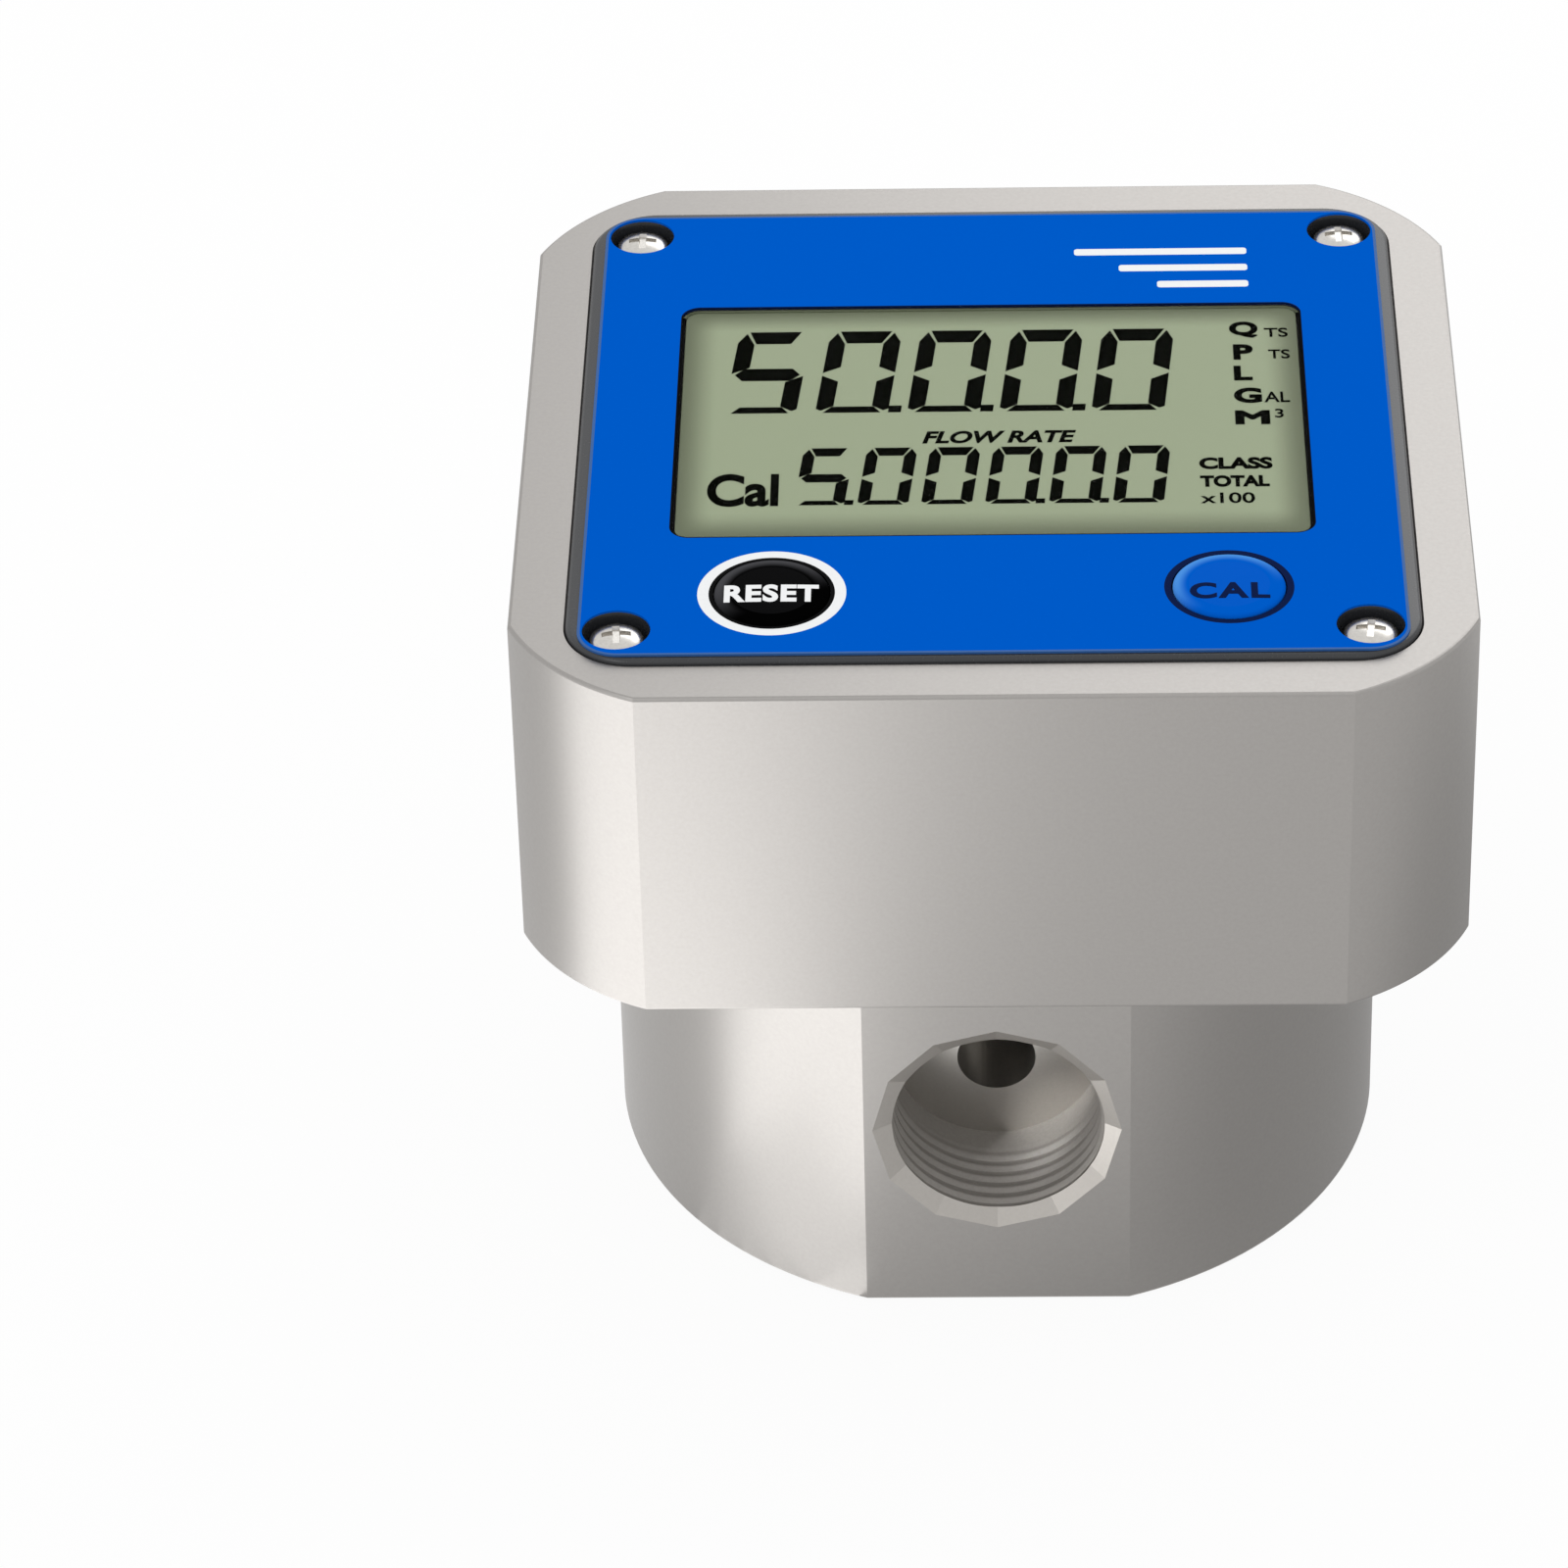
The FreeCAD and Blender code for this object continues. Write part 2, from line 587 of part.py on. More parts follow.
def many_sided(sketch, diameter, sides):
    """Draw a regular outline by its diameter across corners, a corner on each axis."""
    turns = [2 * math.pi * index / sides for index in range(sides)]
    places = [(round(math.cos(turn) / 2, 9), round(math.sin(turn) / 2, 9)) for turn in turns]
    outline(sketch, [(diameter * x if x else 0, diameter * y if y else 0) for x, y in places])


def port_mouth(body):
    """Cut the many-sided lead-in of the inlet, whose flats run down to the bore."""
    outer = start_sketch(body, "mouth_plan", "XZ_Plane", y=s.port_height, z=body_flats / 2)
    many_sided(outer, s.countersink_diameter, MOUTH_SIDES)
    foot = body_flats / 2 - s.countersink_depth
    inner = start_sketch(body, "mouth_foot", "XZ_Plane", y=s.port_height, z=foot)
    many_sided(inner, s.port_bore * (1 / math.cos(math.pi / MOUTH_SIDES)), MOUTH_SIDES)
    mouth = body.newObject("PartDesign::SubtractiveLoft", "flow_body_mouth")
    mouth.Profile = outer
    mouth.Sections = [inner]
    mouth.Ruled = True
    body.Tip = mouth
    return mouth


def make_flow_body():
    """Bar turned and flatted, bored from both sides for the ports and from above for the rotor."""
    body = start_body("flow_body")
    plan = start_sketch(body, "plan")
    flatted_circle(plan, s.body_diameter, body_flats)
    block = pad(body, plan, s.body_height)
    chamfer(body, block, s.body_edge, lies_at(0))
    port = start_sketch(body, "port_section", "YZ_Plane", y=s.port_height)
    face = -(body_flats / 2)
    outline(port, [
        (face, 0),
        (face, s.port_bore / 2),
        (face + s.port_depth, s.port_bore / 2),
        (face + s.port_depth, s.nozzle_bore / 2),
        (0, s.nozzle_bore / 2),
        (0, 0),
    ])
    inlet = groove(body, port, "H_Axis")
    mouth = port_mouth(body)
    outlet = body.newObject("PartDesign::Mirrored", "flow_body_outlet")
    outlet.Originals = [inlet, mouth]
    outlet.MirrorPlane = (datum(body, "XZ_Plane"), [""])
    body.Tip = outlet
    chamber = start_sketch(body, "chamber_section", "XZ_Plane", x=s.rotor_offset)
    bearing_seat = chamber_floor - s.bearing_length
    outline(chamber, [
        (0, bearing_seat),
        (s.bearing_diameter / 2, bearing_seat),
        (s.bearing_diameter / 2, chamber_floor),
        (s.chamber_bore / 2, chamber_floor),
        (s.chamber_bore / 2, cap_seat),
        (cap_flange / 2 + s.cap_fit, cap_seat),
        (cap_flange / 2 + s.cap_fit, s.body_height),
        (0, s.body_height),
    ])
    groove(body, chamber)
    ring = start_sketch(body, "ring_plan", z=s.body_height)
    circle(ring, 2 * seal_outer)
    circle(ring, 2 * seal_inner)
    pocket(body, ring, s.seal_depth)
    taps = start_sketch(body, "tapped_holes", z=s.body_height)
    for side, end in CORNERS:
        tap = s.housing_screw_diameter + 2 * s.thread_fit
        circle(taps, tap, housing_screw_x * side, housing_screw_y * end)
    pocket(body, taps, s.housing_screw_grip + s.tap_allowance)
    return body


def make_chamber_cap():
    """Flanged plug that closes the rotor chamber and holds the upper bearing and the pickup."""
    body = start_body("chamber_cap", x=s.rotor_offset)
    section = start_sketch(body, "section", "XZ_Plane")
    plug = s.chamber_bore / 2 - s.cap_fit
    ring_top = cap_seat - s.cap_seal_drop
    ring_root = s.chamber_bore / 2 - s.ring_depth
    bearing_seat = chamber_ceiling + s.bearing_length
    outline(section, [
        (0, s.body_height),
        (0, bearing_seat),
        (s.bearing_diameter / 2, bearing_seat),
        (s.bearing_diameter / 2, chamber_ceiling),
        (plug, chamber_ceiling),
        (plug, ring_top - s.ring_width),
        (ring_root, ring_top - s.ring_width),
        (ring_root, ring_top),
        (plug, ring_top),
        (plug, cap_seat),
        (cap_flange / 2, cap_seat),
        (cap_flange / 2, s.body_height),
    ])
    revolve(body, section)
    well = start_sketch(body, "pickup_well", z=s.body_height)
    circle(well, s.sensor_diameter + 2 * s.sensor_fit, 0, sensor_y)
    pocket(body, well, s.body_height - sensor_bottom)
    return body


def make_ring(label, inner, outer, bottom, top, x=0):
    """Sealing ring drawn in its squeezed section."""
    body = start_body(label, x=x)
    section = start_sketch(body, "section", "XZ_Plane")
    outline(section, [
        (inner, bottom + s.ring_edge),
        (inner + s.ring_edge, bottom),
        (outer - s.ring_edge, bottom),
        (outer, bottom + s.ring_edge),
        (outer, top - s.ring_edge),
        (outer - s.ring_edge, top),
        (inner + s.ring_edge, top),
        (inner, top - s.ring_edge),
    ])
    revolve(body, section)
    return body


def make_cap_seal():
    """Ring in the groove of the chamber cap."""
    top = cap_seat - s.cap_seal_drop
    wall = s.chamber_bore / 2
    return make_ring("cap_seal", wall - s.ring_depth, wall, top - s.ring_width, top, s.rotor_offset)


def make_housing_seal():
    """Ring in the face between flow body and head."""
    return make_ring("housing_seal", seal_inner, seal_outer, s.body_height - s.seal_depth, s.body_height)


def make_turbine_rotor():
    """Hub with curved vanes, turned to diameter, recessed below and bored for two magnets."""
    height = s.chamber_height - 2 * s.rotor_end_gap
    body = start_body("turbine_rotor", x=s.rotor_offset, z=chamber_floor + s.rotor_end_gap)
    hub = start_sketch(body, "hub_section", "XZ_Plane")
    recess_inner = s.shaft_diameter / 2 + s.hub_recess_wall
    recess_outer = hub_diameter / 2 - s.hub_recess_wall
    outline(hub, [
        (s.shaft_diameter / 2, 0),
        (recess_inner, 0),
        (recess_inner, s.hub_recess_depth),
        (recess_outer, s.hub_recess_depth),
        (recess_outer, 0),
        (hub_diameter / 2, 0),
        (hub_diameter / 2, height),
        (s.shaft_diameter / 2, height),
    ])
    revolve(body, hub)
    vane = start_sketch(body, "vane_plan")
    half_span = (rotor_diameter - hub_diameter) / 4 + s.vane_root
    middle = (rotor_diameter + hub_diameter) / 4
    drop = (s.vane_radius * s.vane_radius - half_span * half_span).root()
    curved_strip(vane, middle, -drop, s.vane_radius, s.vane_thickness, half_span)
    blade = pad(body, vane, height)
    polar(body, [blade], VANE_COUNT)
    tips = start_sketch(body, "tip_turning", z=height)
    circle(tips, rotor_diameter)
    circle(tips, rotor_diameter + 4 * s.vane_root)
    pocket(body, tips)
    socket = start_sketch(body, "magnet_socket", z=height)
    circle(socket, s.magnet_diameter, 0, s.magnet_circle / 2)
    hole = pocket(body, socket, s.magnet_height)
    polar(body, [hole], 2)
    return body


def curved_strip(sketch, x, y, radius, thickness, half_span):
    """Draw a strip bent about a centre, its ends square to X."""
    centre = vector(x, y)
    axis = FreeCAD.Vector(0, 0, 1)
    reach = float(half_span)
    radii = (radius - thickness / 2, radius + thickness / 2)
    tops = []
    for size in radii:
        angle = math.acos(reach / float(size))
        whole = Part.Circle(centre, axis, float(size))
        sketch.addGeometry(Part.ArcOfCircle(whole, angle, math.pi - angle), False)
        tops.append(math.sqrt(float(size) ** 2 - reach ** 2))
    for side in (1, -1):
        ends = [centre + vector(side * reach, top) for top in tops]
        sketch.addGeometry(Part.LineSegment(*ends), False)
    for index, size in enumerate(radii):
        dimension(sketch, "Radius", (index,), size)
        sketch.addConstraint(Sketcher.Constraint("Coincident", index, 1, 2, index + 1))
        sketch.addConstraint(Sketcher.Constraint("Coincident", index, 2, 3, index + 1))
    pin_point(sketch, 0, 3, x, y)
    sketch.addConstraint(Sketcher.Constraint("Coincident", 0, 3, 1, 3))
    for line, place in ((2, x + half_span), (3, x - half_span)):
        sketch.addConstraint(Sketcher.Constraint("Vertical", line))
        dimension(sketch, "DistanceX", (-1, 1, line, 1), place)


def make_rotor_shaft():
    """Pin pressed through the hub, standing on the lower bearing's floor."""
    body = start_body("rotor_shaft", x=s.rotor_offset)
    section = start_sketch(body, "section", "XZ_Plane")
    radius = s.shaft_diameter / 2
    outline(section, [
        (0, shaft_bottom),
        (radius - s.shaft_edge, shaft_bottom),
        (radius, shaft_bottom + s.shaft_edge),
        (radius, shaft_top - s.shaft_edge),
        (radius - s.shaft_edge, shaft_top),
        (0, shaft_top),
    ])
    revolve(body, section)
    return body


def make_rotor_magnets():
    """Two magnets flush with the hub's top."""
    top = chamber_ceiling - s.rotor_end_gap
    body = start_body("rotor_magnets", x=s.rotor_offset, z=top - s.magnet_height)
    plan = start_sketch(body, "plan")
    circle(plan, s.magnet_diameter, 0, s.magnet_circle / 2)
    polar(body, [pad(body, plan, s.magnet_height)], 2)
    return body


def make_bearing(label, mouth, inward):
    """Cup bearing whose mouth is flush with the chamber; inward is its depth's direction along Z."""
    body = start_body(label, x=s.rotor_offset, z=mouth)
    section = start_sketch(body, "section", "XZ_Plane")
    bore = s.shaft_diameter / 2 + s.shaft_fit
    depth = s.bearing_length * inward
    cup = (s.bearing_length - s.bearing_floor) * inward
    outline(section, [
        (bore, 0),
        (s.bearing_diameter / 2, 0),
        (s.bearing_diameter / 2, depth),
        (0, depth),
        (0, cup),
        (bore, cup),
    ])
    revolve(body, section)
    return body


def make_pickup_sensor():
    """Sealed capsule standing in the cap's well."""
    body = start_body("pickup_sensor", x=s.rotor_offset, y=sensor_y, z=sensor_bottom)
    plan = start_sketch(body, "plan")
    circle(plan, s.sensor_diameter)
    height = sensor_top - sensor_bottom
    capsule = pad(body, plan, height)
    chamfer(body, capsule, s.ring_edge, lies_at(height))
    return body


def make_sensor_pins():
    """Three pins from the pickup up to the board."""
    body = start_body("sensor_pins", x=s.rotor_offset, y=sensor_y, z=sensor_top)
    plan = start_sketch(body, "plan")
    for place in (-1, 0, 1):
        circle(plan, s.pin_diameter, s.pin_pitch * place if place else 0, 0)
    pad(body, plan, board_bottom - sensor_top)
    return body


def make_display_housing():
    """Square head milled from one block: faceplate rebate, deep pocket, board posts and screw holes."""
    body = start_body("display_housing", z=s.body_height)
    height = head_top - s.body_height
    plan = start_sketch(body, "plan")
    creased_square(plan, s.head_width, s.corner_run, s.corner_radius)
    block = pad(body, plan, height)
    top_edges = lies_at(height)
    bottom_edges = lies_at(0)
    chamfer(body, block, s.head_edge, lambda edge: top_edges(edge) or bottom_edges(edge))
    rebate = start_sketch(body, "rebate_plan", z=height)
    rounded_rectangle(rebate, rebate_width, rebate_width, rebate_corner)
    pocket(body, rebate, head_top - ledge)
    cavity = start_sketch(body, "pocket_plan", z=height)
    rounded_rectangle(cavity, pocket_width, pocket_width, s.pocket_corner)
    pocket(body, cavity, head_top - floor_top)
    posts = start_sketch(body, "post_plan", z=s.floor_thickness)
    for side, end in CORNERS:
        circle(posts, s.post_diameter, post_x * side, post_y * end)
    pad(body, posts, board_bottom - floor_top)
    taps = start_sketch(body, "post_holes", z=board_bottom - s.body_height)
    for side, end in CORNERS:
        circle(taps, s.board_screw_diameter + 2 * s.thread_fit, post_x * side, post_y * end)
    pocket(body, taps, s.board_screw_grip + s.tap_allowance)
    plate_tap = start_sketch(body, "plate_screw_hole", z=ledge - s.body_height)
    circle(plate_tap, s.plate_screw_diameter + 2 * s.thread_fit, plate_screw_place, plate_screw_place)
    polar(body, [pocket(body, plate_tap, s.plate_screw_grip + s.tap_allowance)], len(CORNERS))
    sinks = start_sketch(body, "screw_counterbores", z=s.floor_thickness)
    holes = start_sketch(body, "screw_holes", z=s.floor_thickness)
    for side, end in CORNERS:
        circle(sinks, housing_counterbore, housing_screw_x * side, housing_screw_y * end)
        circle(holes, housing_screw_hole, housing_screw_x * side, housing_screw_y * end)
    pocket(body, sinks, floor_top - housing_screw_seat)
    circle(holes, s.sensor_diameter + 2 * s.sensor_hole_gap, s.rotor_offset, sensor_y)
    pocket(body, holes)
    return body


def make_housing_screws():
    """Four cap screws that draw the head onto the flow body."""
    body = start_body("housing_screws", z=housing_screw_seat)
    length = housing_screw_seat - s.body_height + s.housing_screw_grip
    for side, end in CORNERS:
        section = start_sketch(body, "section", "XZ_Plane", x=housing_screw_x * side, z=housing_screw_y * end)
        screw_profile(section, s.housing_screw_diameter, length, s.housing_screw_head,
                      s.housing_screw_head_height, s.head_edge)
        revolve(body, section)
    return body


def make_faceplate():
    """Moulded plate with a seat for the pane, button holes, sunk screws and a recess for the display."""
    body = start_body("faceplate", z=plate_bottom)
    plan = start_sketch(body, "plan")
    rounded_rectangle(plan, plate_width, plate_width, s.plate_corner)
    plate = pad(body, plan, plate_thickness)
    chamfer(body, plate, s.plate_edge, lies_at(plate_thickness))
    seat = start_sketch(body, "pane_seat", z=plate_thickness)
    rounded_rectangle(seat, window_width, window_depth, s.window_corner, 0, window_y)
    pocket(body, seat, s.pane_seat)
    openings = start_sketch(body, "openings", z=plate_thickness)
    rounded_rectangle(openings, aperture_width, aperture_depth, s.window_corner - s.pane_ledge, 0, window_y)
    circle(openings, s.reset_diameter + 2 * s.button_fit, reset_x, reset_y)
    circle(openings, s.cal_diameter + 2 * s.button_fit, cal_x, cal_y)
    pocket(body, openings)
    recess = start_sketch(body, "display_recess")
    rectangle(recess, recess_width, recess_depth, 0, window_y)
    pocket(body, recess, plate_thickness - s.pane_seat - s.window_lip, upward=True)
    sink = start_sketch(body, "screw_counterbore", z=plate_thickness)
    circle(sink, plate_counterbore, plate_screw_place, plate_screw_place)
    hole = start_sketch(body, "screw_hole", z=plate_thickness)
    circle(hole, plate_screw_hole, plate_screw_place, plate_screw_place)
    cuts = [pocket(body, sink, s.counterbore_depth), pocket(body, hole)]
    polar(body, cuts, len(CORNERS))
    return body


def make_front_label():
    """Thin printed overlay, cut out for the window, the buttons and the screws."""
    body = start_body("front_label", z=plate_top)
    plan = start_sketch(body, "plan")
    width = plate_width - 2 * s.label_side_margin
    rounded_rectangle(plan, width, plate_width - 2 * s.label_end_margin, s.label_corner)
    pad(body, plan, s.label_thickness)
    cuts = start_sketch(body, "openings", z=s.label_thickness)
    rounded_rectangle(cuts, window_width, window_depth, s.window_corner, 0, window_y)
    circle(cuts, s.reset_diameter + 2 * s.button_fit, reset_x, reset_y)
    circle(cuts, s.cal_diameter + 2 * s.button_fit, cal_x, cal_y)
    for side, end in CORNERS:
        circle(cuts, plate_counterbore, plate_screw_place * side, plate_screw_place * end)
    pocket(body, cuts)
    return body


def make_faceplate_gasket():
    """Flat gasket on the ledge, pierced by the faceplate screws."""
    body = start_body("faceplate_gasket", z=ledge)
    plan = start_sketch(body, "plan")
    rounded_rectangle(plan, plate_width, plate_width, s.plate_corner)
    rounded_rectangle(plan, pocket_width, pocket_width, s.pocket_corner)
    for side, end in CORNERS:
        circle(plan, plate_screw_hole, plate_screw_place * side, plate_screw_place * end)
    pad(body, plan, s.gasket_thickness)
    return body


def make_faceplate_screws():
    """Four pan-head screws through the corners of the faceplate."""
    body = start_body("faceplate_screws", z=plate_screw_seat)
    section = start_sketch(body, "section", "XZ_Plane", x=plate_screw_place, z=plate_screw_place)
    length = plate_screw_seat - ledge + s.plate_screw_grip
    screw_profile(section, s.plate_screw_diameter, length, s.plate_screw_head, s.plate_screw_head_height,
                  s.plate_screw_crown)
    polar(body, [revolve(body, section)], len(CORNERS))
    return body


def make_sheet(label, width, depth, bottom, thickness, opening=None):
    """Flat sheet behind the window, with or without a window-sized opening."""
    body = start_body(label, y=window_y, z=bottom)
    plan = start_sketch(body, "plan")
    rectangle(plan, width, depth)
    if opening is not None:
        rectangle(plan, *opening)
    pad(body, plan, thickness)
    return body


def make_display_window():
    """Clear pane on its seat in the plate, flush with the overlay."""
    body = start_body("display_window", y=window_y, z=pane_bottom)
    plan = start_sketch(body, "plan")
    fit = 2 * s.pane_fit
    rounded_rectangle(plan, window_width - fit, window_depth - fit, s.window_corner - s.pane_fit)
    pad(body, plan, s.pane_seat + s.label_thickness)
    return body


def make_lcd_panel():
    """Rear glass, front glass with contact ledges before and behind it, and a polariser in the window."""
    body = start_body("lcd_panel", y=window_y, z=rear_glass_bottom)
    rear = start_sketch(body, "rear_plan")
    rectangle(rear, glass_width, rear_glass_depth)
    pad(body, rear, s.glass_thickness)
    front = start_sketch(body, "front_plan", z=s.glass_thickness)
    rectangle(front, glass_width, glass_depth)
    pad(body, front, s.glass_thickness)
    film = start_sketch(body, "polariser_plan", z=2 * s.glass_thickness)
    fit = 2 * s.pane_fit
    corner = s.window_corner - s.pane_ledge - s.pane_fit
    rounded_rectangle(film, aperture_width - fit, aperture_depth - fit, corner)
    pad(body, film, s.window_lip + s.display_gasket_thickness - s.polariser_gap)
    return body


def make_display_frame():
    """Tray turned upside down on the board: the glass nests in its deck, slots take the contact strips."""
    body = start_body("display_frame", y=window_y, z=board_top)
    plan = start_sketch(body, "plan")
    rectangle(plan, frame_width, frame_depth)
    pad(body, plan, s.display_height)
    nest = start_sketch(body, "nest_plan", z=s.display_height)
    rectangle(nest, recess_width, recess_depth)
    pocket(body, nest, s.frame_nest)
    hollow = start_sketch(body, "hollow_plan")
    rectangle(hollow, recess_width, recess_depth)
    pocket(body, hollow, s.display_height - s.frame_nest - s.frame_deck, upward=True)
    slots = start_sketch(body, "strip_slots", z=s.display_height)
    for end in (1, -1):
        slot_width = s.strip_width + 2 * s.strip_fit
        rectangle(slots, strip_length + 2 * s.strip_fit, slot_width, 0, strip_place * end)
    pocket(body, slots)
    return body


def make_contact_strips():
    """Two elastomer strips from the board to the ledges of the front glass."""
    body = start_body("contact_strips", y=window_y, z=board_top)
    plan = start_sketch(body, "plan")
    for end in (1, -1):
        rectangle(plan, strip_length, s.strip_width, 0, strip_place * end)
    pad(body, plan, front_glass_bottom - board_top)
    return body


def make_circuit_board():
    """Board that fills the pocket, bored for its four screws."""
    body = start_body("circuit_board", z=board_bottom)
    plan = start_sketch(body, "plan")
    rounded_rectangle(plan, board_width, board_width, board_corner)
    for side, end in CORNERS:
        hole = s.board_screw_diameter + 2 * s.clearance_hole_gap
        circle(plan, hole, post_x * side, post_y * end)
    pad(body, plan, s.board_thickness)
    return body


def make_board_screws():
    """Four screws that hold the board on its posts."""
    body = start_body("board_screws", z=board_top)
    length = s.board_thickness + s.board_screw_grip
    for side, end in CORNERS:
        section = start_sketch(body, "section", "XZ_Plane", x=post_x * side, z=post_y * end)
        screw_profile(section, s.board_screw_diameter, length, s.board_screw_head, s.board_screw_head_height,
                      s.plate_screw_crown)
        revolve(body, section)
    return body


def make_processor_chip():
    """Flat package on the board under the display."""
    body = start_body("processor_chip", y=window_y, z=board_top)
    plan = start_sketch(body, "plan")
    rectangle(plan, s.chip_width, s.chip_width)
    package = pad(body, plan, s.chip_height)
    chamfer(body, package, s.chip_edge, lies_at(s.chip_height))
    return body


def make_timing_crystal():
    """Round-ended can beside the processor."""
    body = start_body("timing_crystal", x=s.crystal_offset, y=window_y, z=board_top)
    plan = start_sketch(body, "plan")
    rounded_rectangle(plan, s.crystal_length, s.crystal_width, s.crystal_width / 2 - s.chip_edge)
    can = pad(body, plan, s.crystal_height)
    chamfer(body, can, s.chip_edge, lies_at(s.crystal_height))
    return body


def make_button(label, x, y, diameter):
    """Domed button with a retaining flange under the plate and a stem down to its switch."""
    body = start_body(label, x=x, y=y, z=label_top)
    section = start_sketch(body, "section", "XZ_Plane")
    crown = s.button_crown
    dome = (diameter * diameter / 4 + crown * crown) / (2 * crown)
    flange = diameter / 2 + s.button_flange
    underside = plate_bottom - label_top
    flange_bottom = underside - s.button_flange_height
    stem_end = plunger_top - label_top
    outline(section, [
        (0, crown),
        (diameter / 2, 0),
        (diameter / 2, underside),
        (flange, underside),
        (flange, flange_bottom),
        (s.stem_diameter / 2, flange_bottom),
        (s.stem_diameter / 2, stem_end),
        (0, stem_end),
    ], dome)
    revolve(body, section)
    return body


def make_switch(label, x, y):
    """Square switch body with the plunger's guide bored in its top."""
    body = start_body(label, x=x, y=y, z=board_top)
    plan = start_sketch(body, "plan")
    rectangle(plan, s.switch_width, s.switch_width)
    pad(body, plan, s.switch_height)
    guide = start_sketch(body, "guide", z=s.switch_height)
    circle(guide, s.plunger_diameter + 2 * s.plunger_fit)
    pocket(body, guide, s.plunger_hold + s.button_travel + s.plunger_fit)
    return body


def make_plunger(label, x, y):
    """Switch plunger, moved by the button above it."""
    body = start_body(label, x=x, y=y, z=switch_top - s.plunger_hold)
    plan = start_sketch(body, "plan")
    circle(plan, s.plunger_diameter)
    height = s.plunger_hold + s.plunger_stand
    pin = pad(body, plan, height)
    chamfer(body, pin, s.shaft_edge, lies_at(height))
    return body


def make_battery_holder():
    """Open tray with two bays for the cells."""
    body = start_body("battery_holder", y=holder_y, z=holder_bottom)
    plan = start_sketch(body, "plan")
    rectangle(plan, holder_length, holder_width)
    pad(body, plan, s.holder_height)
    bays = start_sketch(body, "bays", z=s.holder_height)
    for end in (1, -1):
        rectangle(bays, bay_length, bay_width, 0, bay_place * end)
    pocket(body, bays, s.holder_height - s.holder_floor)
    return body


def make_holder_pad():
    """Adhesive pad between holder and pocket floor."""
    body = start_body("holder_pad", y=holder_y, z=floor_top)
    plan = start_sketch(body, "plan")
    rectangle(plan, holder_length - 2 * s.holder_wall, holder_width - 2 * s.holder_wall)
    pad(body, plan, s.pad_thickness)
    return body


def make_battery_cells():
    """Two cells side by side, turned end for end."""
    body = start_body("battery_cells", y=holder_y, z=cell_bottom + s.cell_diameter / 2)
    section = start_sketch(body, "section", y=bay_place)
    radius = s.cell_diameter / 2
    back = -(s.cell_length / 2)
    shoulder = s.cell_length / 2 - s.cell_nub_length
    outline(section, [
        (back, 0),
        (back, radius - s.cell_edge),
        (back + s.cell_edge, radius),
        (shoulder - s.cell_edge, radius),
        (shoulder, radius - s.cell_edge),
        (shoulder, s.cell_nub_diameter / 2),
        (s.cell_length / 2, s.cell_nub_diameter / 2),
        (s.cell_length / 2, 0),
    ])
    polar(body, [revolve(body, section, "H_Axis")], 2)
    return body


def make_battery_contacts():
    """Four contact strips, one at each end of each cell."""
    body = start_body("battery_contacts", y=holder_y, z=cell_bottom)
    plan = start_sketch(body, "plan")
    place = (s.cell_length + s.contact_thickness) / 2
    for side, end in CORNERS:
        rectangle(plan, s.contact_thickness, s.contact_width, place * side, bay_place * end)
    pad(body, plan, s.contact_height)
    return body


def make_battery_pins():
    """Two leads from the contacts up to the board."""
    contact_top = cell_bottom + s.contact_height
    body = start_body("battery_pins", y=holder_y, z=contact_top)
    plan = start_sketch(body, "plan")
    place = (s.cell_length + s.contact_thickness) / 2
    for end in (1, -1):
        rectangle(plan, s.contact_thickness, s.lead_width, place, bay_place * end)
    pad(body, plan, board_bottom - contact_top)
    return body


def build_nodes():
    """Build every sub-part of the meter."""
    mask = (aperture_width, aperture_depth)
    return [
        make_flow_body(),
        make_chamber_cap(),
        make_cap_seal(),
        make_housing_seal(),
        make_turbine_rotor(),
        make_rotor_shaft(),
        make_rotor_magnets(),
        make_bearing("lower_bearing", chamber_floor, -1),
        make_bearing("upper_bearing", chamber_ceiling, 1),
        make_pickup_sensor(),
        make_sensor_pins(),
        make_display_housing(),
        make_housing_screws(),
        make_faceplate(),
        make_front_label(),
        make_faceplate_gasket(),
        make_faceplate_screws(),
        make_display_window(),
        make_sheet("display_gasket", glass_width, glass_depth, glass_top, s.display_gasket_thickness, mask),
        make_lcd_panel(),
        make_sheet("lcd_reflector", glass_width, rear_glass_depth, deck_top, s.reflector_thickness),
        make_display_frame(),
        make_contact_strips(),
        make_circuit_board(),
        make_board_screws(),
        make_processor_chip(),
        make_timing_crystal(),
        make_button("reset_button", reset_x, reset_y, s.reset_diameter),
        make_switch("reset_switch", reset_x, reset_y),
        make_plunger("reset_plunger", reset_x, reset_y),
        make_button("cal_button", cal_x, cal_y, s.cal_diameter),
        make_switch("cal_switch", cal_x, cal_y),
        make_plunger("cal_plunger", cal_x, cal_y),
        make_battery_holder(),
        make_holder_pad(),
        make_battery_cells(),
        make_battery_contacts(),
        make_battery_pins(),
    ]


def check_document(nodes):
    """Stop if an object failed, a cut removed nothing or a sub-part is not a valid solid."""
    for item in doc.Objects:
        if "Invalid" in item.State or "Error" in item.State:
            raise RuntimeError(f"{item.Label} failed: {item.getStatusString()}")
        if item.TypeId in ("PartDesign::Pocket", "PartDesign::Groove", "PartDesign::SubtractiveLoft"):
            if item.Shape.Volume >= item.BaseFeature.Shape.Volume:
                raise RuntimeError(f"{item.Label} cuts nothing")
    for node in nodes:
        if node.Shape.isNull() or not node.Shape.isValid() or not node.Shape.Solids:
            raise RuntimeError(f"{node.Label} has no valid solid")


